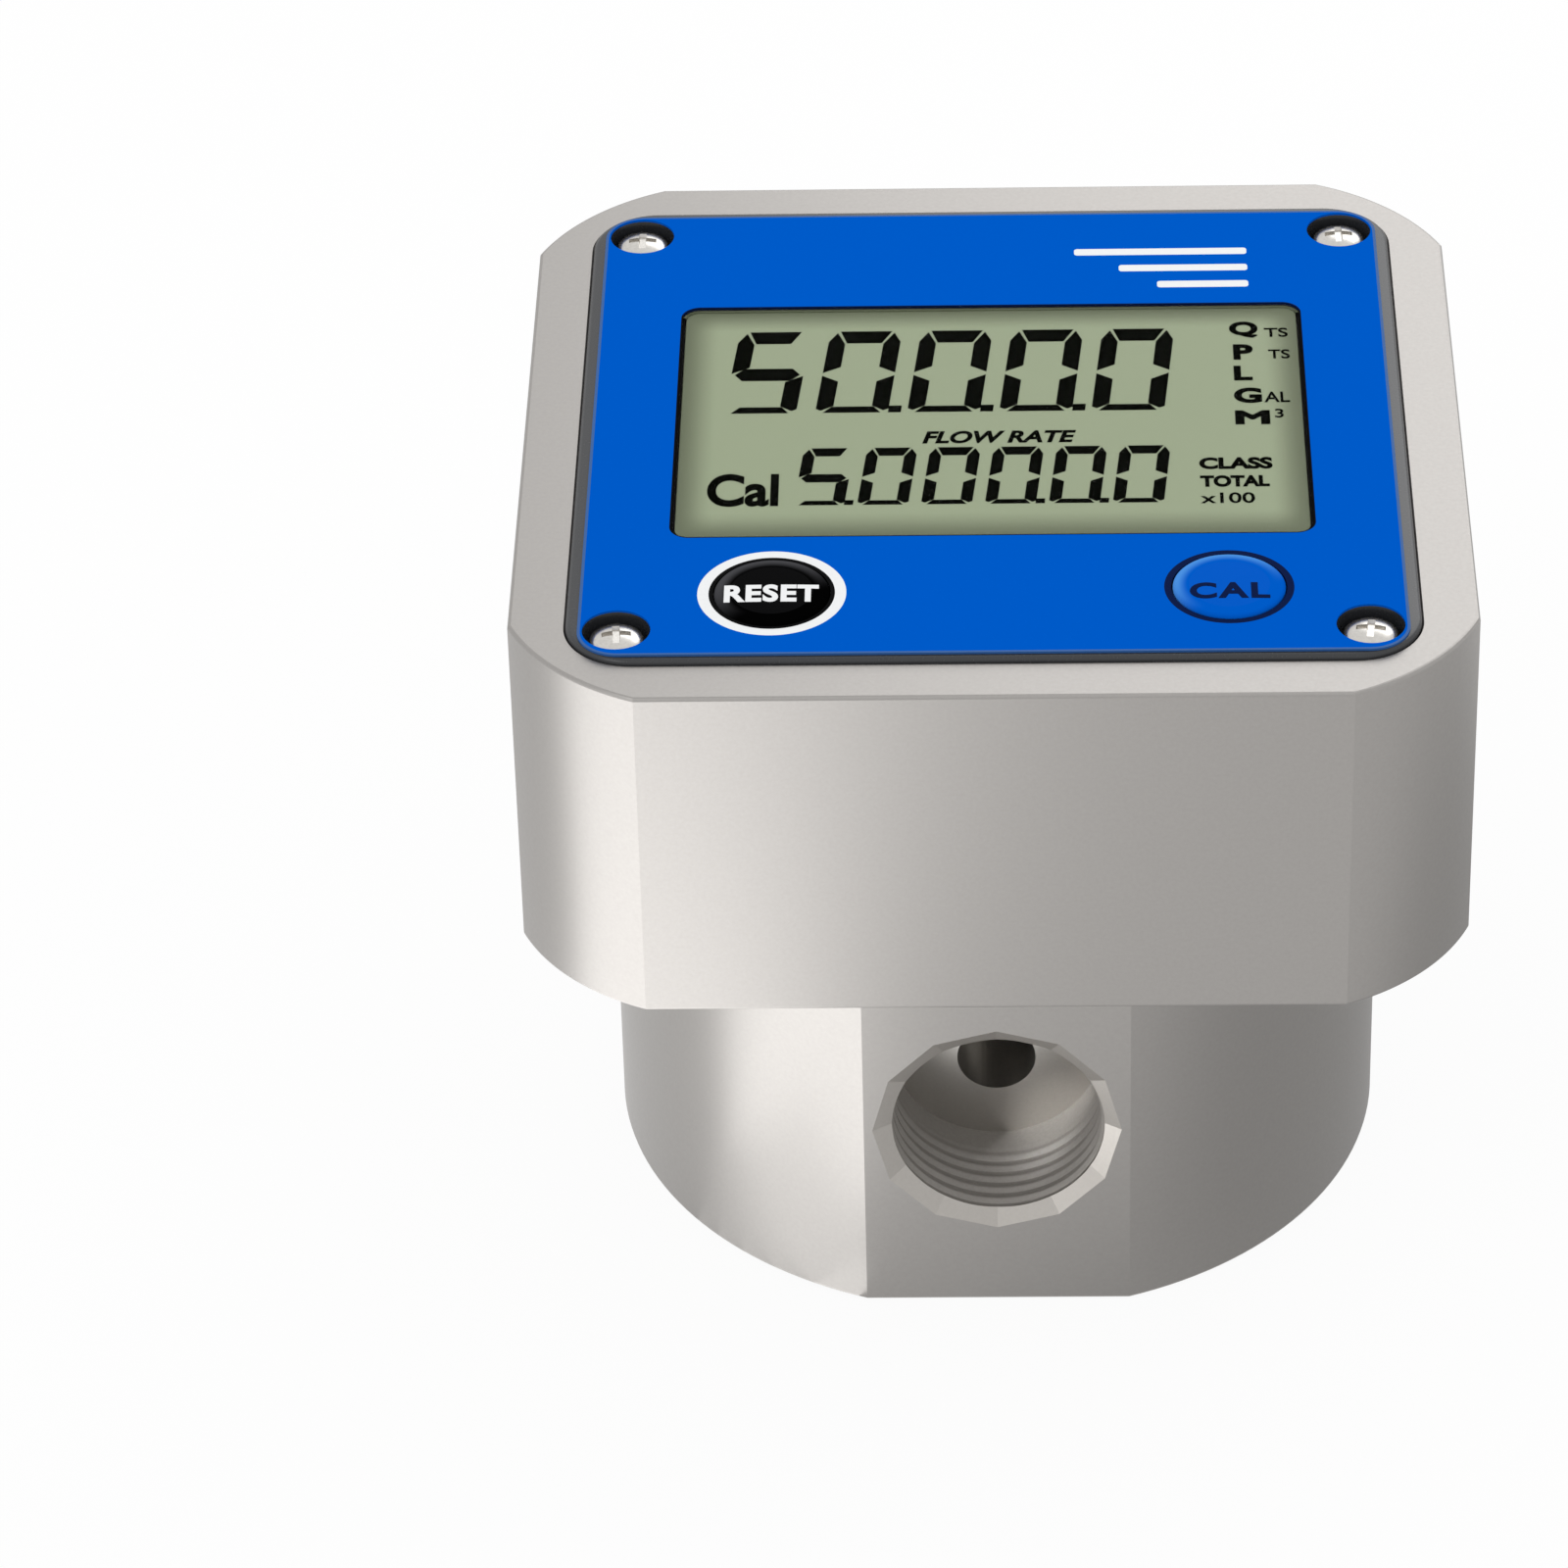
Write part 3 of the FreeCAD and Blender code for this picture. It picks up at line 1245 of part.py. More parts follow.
nodes = build_nodes()
doc.recompute()
check_document(nodes)
os.makedirs("parts", exist_ok=True)
for node in nodes:
    node.Shape.exportStep(f"parts/{node.Label}.step")
    print(node.Label, len(node.Shape.Solids), round(node.Shape.Volume, 1))
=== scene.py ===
"""Looks of a turbine flow meter: a square display head on a round flow body with two tapped ports."""

import logging
import math
from collections.abc import Sequence
from dataclasses import dataclass
from enum import Enum

import bmesh
import bpy
from bmesh.types import BMEdge, BMesh, BMFace, BMVert
from bpy.types import ID, Material, NodeSocket, NodeTree, Object, World
from mathutils import Matrix, Vector


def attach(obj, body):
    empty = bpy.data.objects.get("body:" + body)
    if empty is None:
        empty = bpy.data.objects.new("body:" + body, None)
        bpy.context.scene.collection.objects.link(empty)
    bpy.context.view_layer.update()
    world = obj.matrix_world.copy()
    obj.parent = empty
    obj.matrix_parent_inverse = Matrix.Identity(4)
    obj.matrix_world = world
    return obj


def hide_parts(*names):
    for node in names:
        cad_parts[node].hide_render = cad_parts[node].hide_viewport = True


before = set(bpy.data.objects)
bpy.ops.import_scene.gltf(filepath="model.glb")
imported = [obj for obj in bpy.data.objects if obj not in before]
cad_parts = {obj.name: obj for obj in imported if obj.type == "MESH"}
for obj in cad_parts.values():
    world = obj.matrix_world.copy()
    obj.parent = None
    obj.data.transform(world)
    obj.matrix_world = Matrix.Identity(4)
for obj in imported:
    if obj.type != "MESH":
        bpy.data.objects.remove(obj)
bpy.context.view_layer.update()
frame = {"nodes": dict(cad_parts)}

MM = 0.001
FULL_TURN = 2 * math.pi
QUARTER_TURN = FULL_TURN / 4
ARC_STEPS = 16
ROUND_STEPS = 96
NEAR = 1e-4
LAMP_LIFT = 0.0002
LOG = logging.getLogger("flow_meter")

Plan = list["Corner"]
Spot = tuple[float, float]
Profile = Sequence[Spot]


class Body(Enum):
    """Bodies of the frame that a piece can ride on."""

    METER = "meter"
    RESET_KEY = "reset_key"
    CAL_KEY = "cal_key"


class Slot(Enum):
    """Material slots of the record that the new pieces take."""

    STAINLESS = "stainless"
    SCREW_STEEL = "screw_steel"
    DARK_PLATE = "dark_plate"
    LABEL_BLUE = "label_blue"
    DISPLAY_GLASS = "display_glass"
    KEY_BLACK = "key_black"
    KEY_BLUE = "key_blue"


def linear(colour: str) -> tuple[float, float, float, float]:
    """Turn an sRGB hex colour into linear values.

    Args:
        colour: Six hex digits after a hash.

    Returns:
        Linear red, green, blue and an alpha of one.
    """
    channels = [int(colour[at:at + 2], 16) / 255 for at in (1, 3, 5)]
    lit = [c / 12.92 if c <= 0.04045 else ((c + 0.055) / 1.055) ** 2.4 for c in channels]
    return (lit[0], lit[1], lit[2], 1.0)


def empty_tree(owner: Material | World) -> NodeTree:
    """Clear the nodes of a new material or world.

    Args:
        owner: What the nodes belong to.

    Returns:
        Its node tree.
    """
    owner.use_nodes = True
    owner.node_tree.nodes.clear()
    return owner.node_tree


def add_node(
    tree: NodeTree, kind: str, settings: dict | None = None, links: dict | None = None, out: int | str = 0
) -> NodeSocket | None:
    """Add a node with its settings and its incoming links.

    Args:
        tree: Node tree that takes the node.
        kind: Blender's name of the node type, after the words that all of them start with.
        settings: Values for the node's attributes, or for its inputs by name or index.
        links: Outputs to join to the node's inputs by name or index.
        out: Name or index of the output that is wanted.

    Returns:
        That output, or nothing for the node that ends a tree.
    """
    node = tree.nodes.new("ShaderNode" + kind)
    for key, value in (settings or {}).items():
        if isinstance(key, str) and hasattr(node, key):
            setattr(node, key, value)
        else:
            node.inputs[key].default_value = value
    for key, output in (links or {}).items():
        tree.links.new(output, node.inputs[key])
    return node.outputs[out] if node.outputs else None


def multiplied_ramps(tree: NodeTree, ramps: Sequence[tuple[NodeSocket, float, float]]) -> NodeSocket:
    """Multiply smooth ramps.

    Args:
        tree: Node tree that takes them.
        ramps: For each ramp its value, where it is zero and where it is one.

    Returns:
        Their product.
    """
    product = None
    for value, start, end in ramps:
        limits = {"interpolation_type": "SMOOTHSTEP", "From Min": start, "From Max": end}
        ramp = add_node(tree, "MapRange", limits, {"Value": value})
        if product is not None:
            ramp = add_node(tree, "Math", {"operation": "MULTIPLY"}, {0: product, 1: ramp})
        product = ramp
    return product


@dataclass(frozen=True)
class Finish:
    """A surface with its colour, its gloss and a grain of a real size in millimetres.

    The grain moves the roughness and gives a low relief. A share of the shade is mixed into the colour.
    """

    name: str
    colour: str
    shade: str
    roughness: float
    grain: float
    relief: float
    swing: float = 0.05
    metallic: float = 0.0
    specular: float = 0.5
    stretch: tuple[float, float, float] = (1.0, 1.0, 1.0)

    def make(self) -> Material:
        """Build the material.

        Returns:
            The finished material.
        """
        material = bpy.data.materials.new(self.name)
        tree = empty_tree(material)
        place = add_node(tree, "TexCoord", out="Object")
        drawn = add_node(tree, "Mapping", {"Scale": self.stretch}, {"Vector": place})
        lumps = {"Scale": 1 / (self.grain * MM), "Detail": 3.0, "Roughness": 0.6}
        grain = add_node(tree, "TexNoise", lumps, {"Vector": drawn}, "Fac")
        colours = {6: linear(self.colour), 7: linear(self.shade)}
        share = self.share_of(tree, place, grain)
        tone = add_node(tree, "Mix", {"data_type": "RGBA", **colours}, {"Factor": share}, 2)
        limits = {"To Min": max(self.roughness - self.swing, 0.02), "To Max": self.roughness + self.swing}
        gloss = add_node(tree, "MapRange", limits, {"Value": grain})
        bump = add_node(tree, "Bump", {"Strength": 0.6, "Distance": self.relief * MM}, {"Height": grain})
        constants = {"Metallic": self.metallic, "Specular IOR Level": self.specular, **self.extras()}
        links = {"Base Color": tone, "Roughness": gloss, "Normal": bump}
        shader = add_node(tree, "BsdfPrincipled", constants, links)
        add_node(tree, "OutputMaterial", None, {"Surface": shader})
        return material

    def share_of(self, tree: NodeTree, place: NodeSocket, grain: NodeSocket) -> NodeSocket:
        """Let the grain be the share of the shade."""
        return grain

    def extras(self) -> dict[str, float]:
        """Give the shader's constants that only some finishes have."""
        return {}


@dataclass(frozen=True)
class Banded(Finish):
    """A finish with even bands of its shade across X."""

    pitch: float = 1.0

    def share_of(self, tree: NodeTree, place: NodeSocket, grain: NodeSocket) -> NodeSocket:
        """Add bands, one of the colour and one of the shade to each pitch.

        Args:
            tree: Node tree of the material.
            place: Object coordinates.
            grain: Output of the grain; not used here.

        Returns:
            Share of the shade.
        """
        bands = {"bands_direction": "X", "Scale": FULL_TURN / (20 * self.pitch * MM), "Distortion": 0.2}
        wave = add_node(tree, "TexWave", bands, {"Vector": place}, "Fac")
        return add_node(tree, "MapRange", {"From Min": 0.42, "From Max": 0.58}, {"Value": wave})


@dataclass(frozen=True)
class Crescent(Finish):
    """A round key's edge with a painted highlight: a pale crescent on the side that turns up to the light.
    """

    centre: Spot = (0.0, 0.0)
    radii: tuple[float, float] = (3.5, 4.5)
    toward: Spot = (-0.5, 0.87)

    def share_of(self, tree: NodeTree, place: NodeSocket, grain: NodeSocket) -> NodeSocket:
        """Add the painted highlight crescent, which fades inwards and round the key.

        Args:
            tree: Node tree of the material.
            place: Object coordinates.
            grain: Output of the grain; not used here.

        Returns:
            Share of the shade.
        """
        flat = add_node(tree, "VectorMath", {"operation": "MULTIPLY", 1: (1, 1, 0)}, {0: place})
        middle = (*[part * MM for part in self.centre], 0)
        out = add_node(tree, "VectorMath", {"operation": "SUBTRACT", 1: middle}, {0: flat})
        away = add_node(tree, "VectorMath", {"operation": "LENGTH"}, {0: out}, "Value")
        aim = {"operation": "DOT_PRODUCT", 1: (*self.toward, 0)}
        side = add_node(tree, "VectorMath", aim, {0: out}, "Value")
        inner, outer = (radius * MM for radius in self.radii)
        return multiplied_ramps(tree, ((away, inner, outer), (side, -0.5 * outer, 0.7 * outer)))


@dataclass(frozen=True)
class TracedBoard(Finish):
    """Circuit board whose copper shows as lighter tracks under the green mask."""

    track: float = 1.2

    def share_of(self, tree: NodeTree, place: NodeSocket, grain: NodeSocket) -> NodeSocket:
        """Add tracks as the joints of a brick pattern."""
        tracks = {"Scale": 1 / (5 * self.track * MM), "Mortar Size": 0.03}
        return add_node(tree, "TexBrick", tracks, {"Vector": place}, "Fac")


@dataclass(frozen=True)
class DisplayFace(Finish):
    """Liquid crystal glass: its colour is the painted shade along the window's edges, its shade the glass
    where lit.

    Each edge is given by its place and by how far its painted shade fades, in millimetres.
    """

    side: Spot = (27.25, -3.3)
    front: Spot = (-17.4, 4.1)
    back: Spot = (18.9, -3.4)

    def share_of(self, tree: NodeTree, place: NodeSocket, grain: NodeSocket) -> NodeSocket:
        """Add the painted shade that fades in along the four sides of the window.

        Args:
            tree: Node tree of the material.
            place: Object coordinates.
            grain: Output of the grain; not used here.

        Returns:
            Share of the shade.
        """
        axes = add_node(tree, "SeparateXYZ", None, {"Vector": place}).node.outputs
        across = add_node(tree, "Math", {"operation": "ABSOLUTE"}, {0: axes["X"]})
        edges = ((across, *self.side), (axes["Y"], *self.front), (axes["Y"], *self.back))
        return multiplied_ramps(tree, [(value, at * MM, (at + fade) * MM) for value, at, fade in edges])


@dataclass(frozen=True)
class ClearSheet(Finish):
    """Clear sheet that lets the display show through it."""

    cover: float = 0.03

    def extras(self) -> dict[str, float]:
        """Leave only a trace of the sheet, so that the black segments stay black behind it."""
        return {"Alpha": self.cover}


@dataclass(frozen=True)
class Corner:
    """One arc of a plan, swept counter-clockwise from its start."""

    start: Spot
    centre: Spot
    sweep: float


def rounded_plan(half_x: float, half_y: float, radius: float, x: float = 0.0, y: float = 0.0) -> Plan:
    """Give the corners of a rounded rectangle.

    Args:
        half_x: Half its width.
        half_y: Half its depth.
        radius: Corner radius.
        x: Centre along X.
        y: Centre along Y.

    Returns:
        Four corners, counter-clockwise.
    """
    inner_x = half_x - radius
    inner_y = half_y - radius
    return [
        Corner((x + half_x, y + inner_y), (x + inner_x, y + inner_y), QUARTER_TURN),
        Corner((x - inner_x, y + half_y), (x - inner_x, y + inner_y), QUARTER_TURN),
        Corner((x - half_x, y - inner_y), (x - inner_x, y - inner_y), QUARTER_TURN),
        Corner((x + inner_x, y - half_y), (x + inner_x, y - inner_y), QUARTER_TURN),
    ]


def creased_plan(half: float, run: float, radius: float) -> Plan:
    """Give the corners of a square whose arcs meet its flats at a crease.

    Args:
        half: Half the width across the flats.
        run: Half the length of a flat.
        radius: Radius of the corner arcs.

    Returns:
        Four corners, counter-clockwise.
    """
    centre = (half + run - math.sqrt(2 * radius ** 2 - (half - run) ** 2)) / 2
    sweep = QUARTER_TURN - 2 * math.atan2(run - centre, half - centre)
    corners = []
    for turn in range(4):
        spin = Matrix.Rotation(turn * QUARTER_TURN, 2)
        start = tuple(spin @ Vector((half, run)))
        corners.append(Corner(start, tuple(spin @ Vector((centre, centre))), sweep))
    return corners


def flatted_plan(radius: float, flat: float) -> Plan:
    """Give the two arcs of a circle with a flat before and behind.

    Args:
        radius: Radius of the circle.
        flat: Distance of each flat from the centre.

    Returns:
        The right and the left arc.
    """
    reach = math.sqrt(radius ** 2 - flat ** 2)
    sweep = 2 * math.asin(flat / radius)
    return [Corner((reach, -flat), (0.0, 0.0), sweep), Corner((-reach, flat), (0.0, 0.0), sweep)]


def head_screw_spots(circle: float) -> list[Spot]:
    """Give the places of the four screws under the head, on a circle of the given radius."""
    angles = [math.radians(angle) for angle in (60, 120, 240, 300)]
    return [(circle * math.cos(angle), circle * math.sin(angle)) for angle in angles]


def corner_spots(reach: float) -> list[Spot]:
    """Give the four corners of a square about the middle, each so far along X and Y."""
    return [(x, y) for x in (-reach, reach) for y in (-reach, reach)]


def lies_at(part: BMEdge | BMFace, z: float) -> bool:
    """Tell whether an edge or a face lies at a level."""
    return all(abs(vert.co.z - z) < NEAR for vert in part.verts)


def add_object(name: str, data: ID) -> Object:
    """Make an object and link it to the scene.

    Args:
        name: Its name.
        data: Its mesh, curve, lamp or camera.

    Returns:
        The new object.
    """
    made = bpy.data.objects.new(name, data)
    bpy.context.scene.collection.objects.link(made)
    return made


class Workpiece:
    """A mesh in the making, in millimetres, that becomes one piece of the meter."""

    def __init__(self) -> None:
        """Start an empty mesh."""
        self.mesh: BMesh = bmesh.new()

    def outline(self, plan: Plan, z: float, steps: int = ARC_STEPS) -> list[BMEdge]:
        """Draw a closed plan by spinning one vertex round each corner.

        Args:
            plan: Corners of the plan.
            z: Level of the plan.
            steps: Edges in each arc.

        Returns:
            Edges of the outline.
        """
        before = set(self.mesh.edges)
        ends: list[tuple[BMVert, BMVert]] = []
        for corner in plan:
            first = self.mesh.verts.new((*corner.start, z))
            about = {"cent": (*corner.centre, z), "axis": (0, 0, 1), "angle": corner.sweep}
            spun = bmesh.ops.spin(self.mesh, geom=[first], steps=steps, **about)
            ends.append((first, spun["geom_last"][0]))
        for index, (_, last) in enumerate(ends):
            self.mesh.edges.new((last, ends[(index + 1) % len(ends)][0]))
        return [edge for edge in self.mesh.edges if edge not in before]

    def ring(self, radius: float, x: float, y: float, z: float, steps: int = ROUND_STEPS) -> list[BMEdge]:
        """Draw a circle about a vertical axis.

        Args:
            radius: Its radius.
            x: Centre along X.
            y: Centre along Y.
            z: Its level.
            steps: Edges in the circle.

        Returns:
            Edges of the circle.
        """
        place = Matrix.Translation((x, y, z))
        made = bmesh.ops.create_circle(self.mesh, segments=steps, radius=radius, matrix=place)
        return list({edge for vert in made["verts"] for edge in vert.link_edges})

    def fill(self, edges: Sequence[BMEdge]) -> None:
        """Close a flat face between an outline and its openings."""
        bmesh.ops.triangle_fill(self.mesh, use_beauty=True, edges=list(edges), normal=(0, 0, 1))

    def bridge(self, lower: Sequence[BMEdge], upper: Sequence[BMEdge], material: int = 0) -> None:
        """Join two loops by a wall.

        Args:
            lower: One loop.
            upper: The other loop, with as many edges.
            material: Material slot of the wall.
        """
        for face in bmesh.ops.bridge_loops(self.mesh, edges=[*lower, *upper])["faces"]:
            face.material_index = material

    def recolour(self, old: int, new: int, back: float) -> None:
        """Give the faces of one slot that lie behind a line another slot.

        Args:
            old: Slot that the faces have.
            new: Slot that they get.
            back: Line's place along Y.
        """
        for face in self.mesh.faces:
            if face.material_index == old and face.calc_center_median().y > back:
                face.material_index = new

    def drop(self, edges: Sequence[BMEdge], rise: float) -> list[BMEdge]:
        """Extrude a loop straight up or down.

        Args:
            edges: Loop to extrude.
            rise: Distance along Z.

        Returns:
            Edges of the far end.
        """
        made = bmesh.ops.extrude_edge_only(self.mesh, edges=list(edges))["geom"]
        moved = [part for part in made if isinstance(part, BMVert)]
        bmesh.ops.translate(self.mesh, verts=moved, vec=(0, 0, rise))
        sides = [part for part in made if isinstance(part, BMEdge)]
        return [edge for edge in sides if all(vert in moved for vert in edge.verts)]

    def prism(self, plan: Plan, bottom: float, top: float, steps: int = ARC_STEPS) -> None:
        """Raise a closed solid on a plan.

        Args:
            plan: Corners of the plan.
            bottom: Level of its underside.
            top: Level of its top.
            steps: Edges in each arc.
        """
        base = self.outline(plan, bottom, steps)
        roof = self.drop(base, top - bottom)
        bmesh.ops.contextual_create(self.mesh, geom=base)
        bmesh.ops.contextual_create(self.mesh, geom=roof)

    def turned(self, profile: Profile, x: float = 0.0, y: float = 0.0, steps: int = ROUND_STEPS) -> None:
        """Spin a profile about a vertical axis.

        Args:
            profile: Radius and level of each point.
            x: Axis along X.
            y: Axis along Y.
            steps: Facets round the axis.
        """
        points = [self.mesh.verts.new((x + radius, y, z)) for radius, z in profile]
        lines = [self.mesh.edges.new(pair) for pair in zip(points, points[1:])]
        about = {"cent": (x, y, 0), "axis": (0, 0, 1), "angle": FULL_TURN}
        bmesh.ops.spin(self.mesh, geom=[*points, *lines], steps=steps, use_merge=True, **about)
        bmesh.ops.remove_doubles(self.mesh, verts=list(self.mesh.verts), dist=NEAR)

    def soften(self, levels: Sequence[float], offset: float, segments: int = 3) -> None:
        """Round the edges that lie at some levels.

        Args:
            levels: Levels of the edges.
            offset: Width taken from each face.
            segments: Faces in the rounding.
        """
        chosen = [edge for edge in self.mesh.edges if any(lies_at(edge, level) for level in levels)]
        shape = {"offset_type": "OFFSET", "affect": "EDGES", "profile": 0.5, "material": -1}
        bmesh.ops.bevel(
            self.mesh, geom=chosen, offset=offset, segments=segments, clamp_overlap=True, **shape
        )

    def open_face(self, z: float) -> list[BMEdge]:
        """Take away the large flat face at a level, so that it can be filled round its openings.

        Args:
            z: Level of the face.

        Returns:
            Edges round the opening.
        """
        face = max((face for face in self.mesh.faces if lies_at(face, z)), key=BMFace.calc_area)
        edges = list(face.edges)
        bmesh.ops.delete(self.mesh, geom=[face], context="FACES_ONLY")
        return edges

    def to_object(self, name: str, crease: float = 32.0) -> Object:
        """Finish the mesh as an object in metres, with its edges sharp where faces meet at an angle.

        Args:
            name: Name of the object.
            crease: Angle in degrees from which an edge is sharp.

        Returns:
            The new object, linked to the scene.
        """
        bmesh.ops.remove_doubles(self.mesh, verts=list(self.mesh.verts), dist=NEAR)
        bmesh.ops.recalc_face_normals(self.mesh, faces=list(self.mesh.faces))
        bmesh.ops.scale(self.mesh, verts=list(self.mesh.verts), vec=(MM, MM, MM))
        shade_by_angle(self.mesh, crease)
        data = bpy.data.meshes.new(name)
        self.mesh.to_mesh(data)
        self.mesh.free()
        return add_object(name, data)


def shade_by_angle(mesh: BMesh, crease: float) -> None:
    """Shade every face smooth and every edge beyond an angle sharp.

    Args:
        mesh: Mesh to shade.
        crease: Angle in degrees.
    """
    for face in mesh.faces:
        face.smooth = True
    for edge in mesh.edges:
        edge.smooth = edge.calc_face_angle(FULL_TURN) < math.radians(crease)


def carve(block: Object, tools: Sequence[Object], crease: float) -> None:
    """Cut tools out of a block and remove them.

    Args:
        block: Object to cut.
        tools: Closed objects to take away.
        crease: Angle in degrees from which an edge is sharp.
    """
    for tool in tools:
        cut = block.modifiers.new(tool.name, "BOOLEAN")
        cut.operation = "DIFFERENCE"
        cut.solver = "EXACT"
        cut.object = tool
    graph = bpy.context.evaluated_depsgraph_get()
    cut_mesh = bpy.data.meshes.new_from_object(block.evaluated_get(graph))
    block.modifiers.clear()
    whole = block.data
    block.data = cut_mesh
    for spent in (whole, *[tool.data for tool in tools]):
        bpy.data.meshes.remove(spent)
    cut_mesh.name = block.name
    mesh = bmesh.new()
    mesh.from_mesh(cut_mesh)
    shade_by_angle(mesh, crease)
    mesh.to_mesh(cut_mesh)
    mesh.free()


def dress(
    piece: Object, body: Body, finishes: Sequence[Material], nodes: Sequence[str] = ()
) -> None:
    """Give a piece its finishes and its place in the frame.

    Args:
        piece: Object to dress.
        body: Body that it rides on.
        finishes: Materials in the order of the mesh's slots.
        nodes: CAD nodes that it stands for.
    """
    for finish in finishes:
        piece.data.materials.append(finish)
    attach(piece, body.value)
    if nodes:
        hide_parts(*nodes)
    LOG.info("%s: %d faces on %s", piece.name, len(piece.data.polygons), body.value)


@dataclass(frozen=True)
class Word:
    """A printed word that fills a box, in millimetres."""

    text: str
    left: float
    bottom: float
    right: float
    top: float
    weight: float = 0.0
    slant: float = 0.0
    spacing: float = 1.0

    def add_to(self, mesh: BMesh, level: float, depth: float) -> None:
        """Add the word to a mesh as a thin solid.

        Args:
            mesh: Mesh in millimetres.
            level: Level of the word's underside.
            depth: Thickness of the print.
        """
        curve = bpy.data.curves.new(self.text, "FONT")
        curve.body = self.text
        curve.extrude = 0.1
        curve.bevel_depth = self.weight
        curve.bevel_resolution = 1
        curve.shear = self.slant
        curve.space_character = self.spacing
        curve.resolution_u = 6
        holder = add_object(self.text, curve)
        graph = bpy.context.evaluated_depsgraph_get()
        flat = bpy.data.meshes.new_from_object(holder.evaluated_get(graph))
        low = [min(vert.co[axis] for vert in flat.vertices) for axis in range(3)]
        high = [max(vert.co[axis] for vert in flat.vertices) for axis in range(3)]
        spans = ((self.left, self.right), (self.bottom, self.top), (level, level + depth))
        scale = [(end - start) / (high[axis] - low[axis]) for axis, (start, end) in enumerate(spans)]
        fit = Matrix.Diagonal((*scale, 1.0))
        fit.translation = [start - low[axis] * scale[axis] for axis, (start, _) in enumerate(spans)]
        flat.transform(fit)
        mesh.from_mesh(flat)
        bpy.data.objects.remove(holder)
        bpy.data.curves.remove(curve)
        bpy.data.meshes.remove(flat)


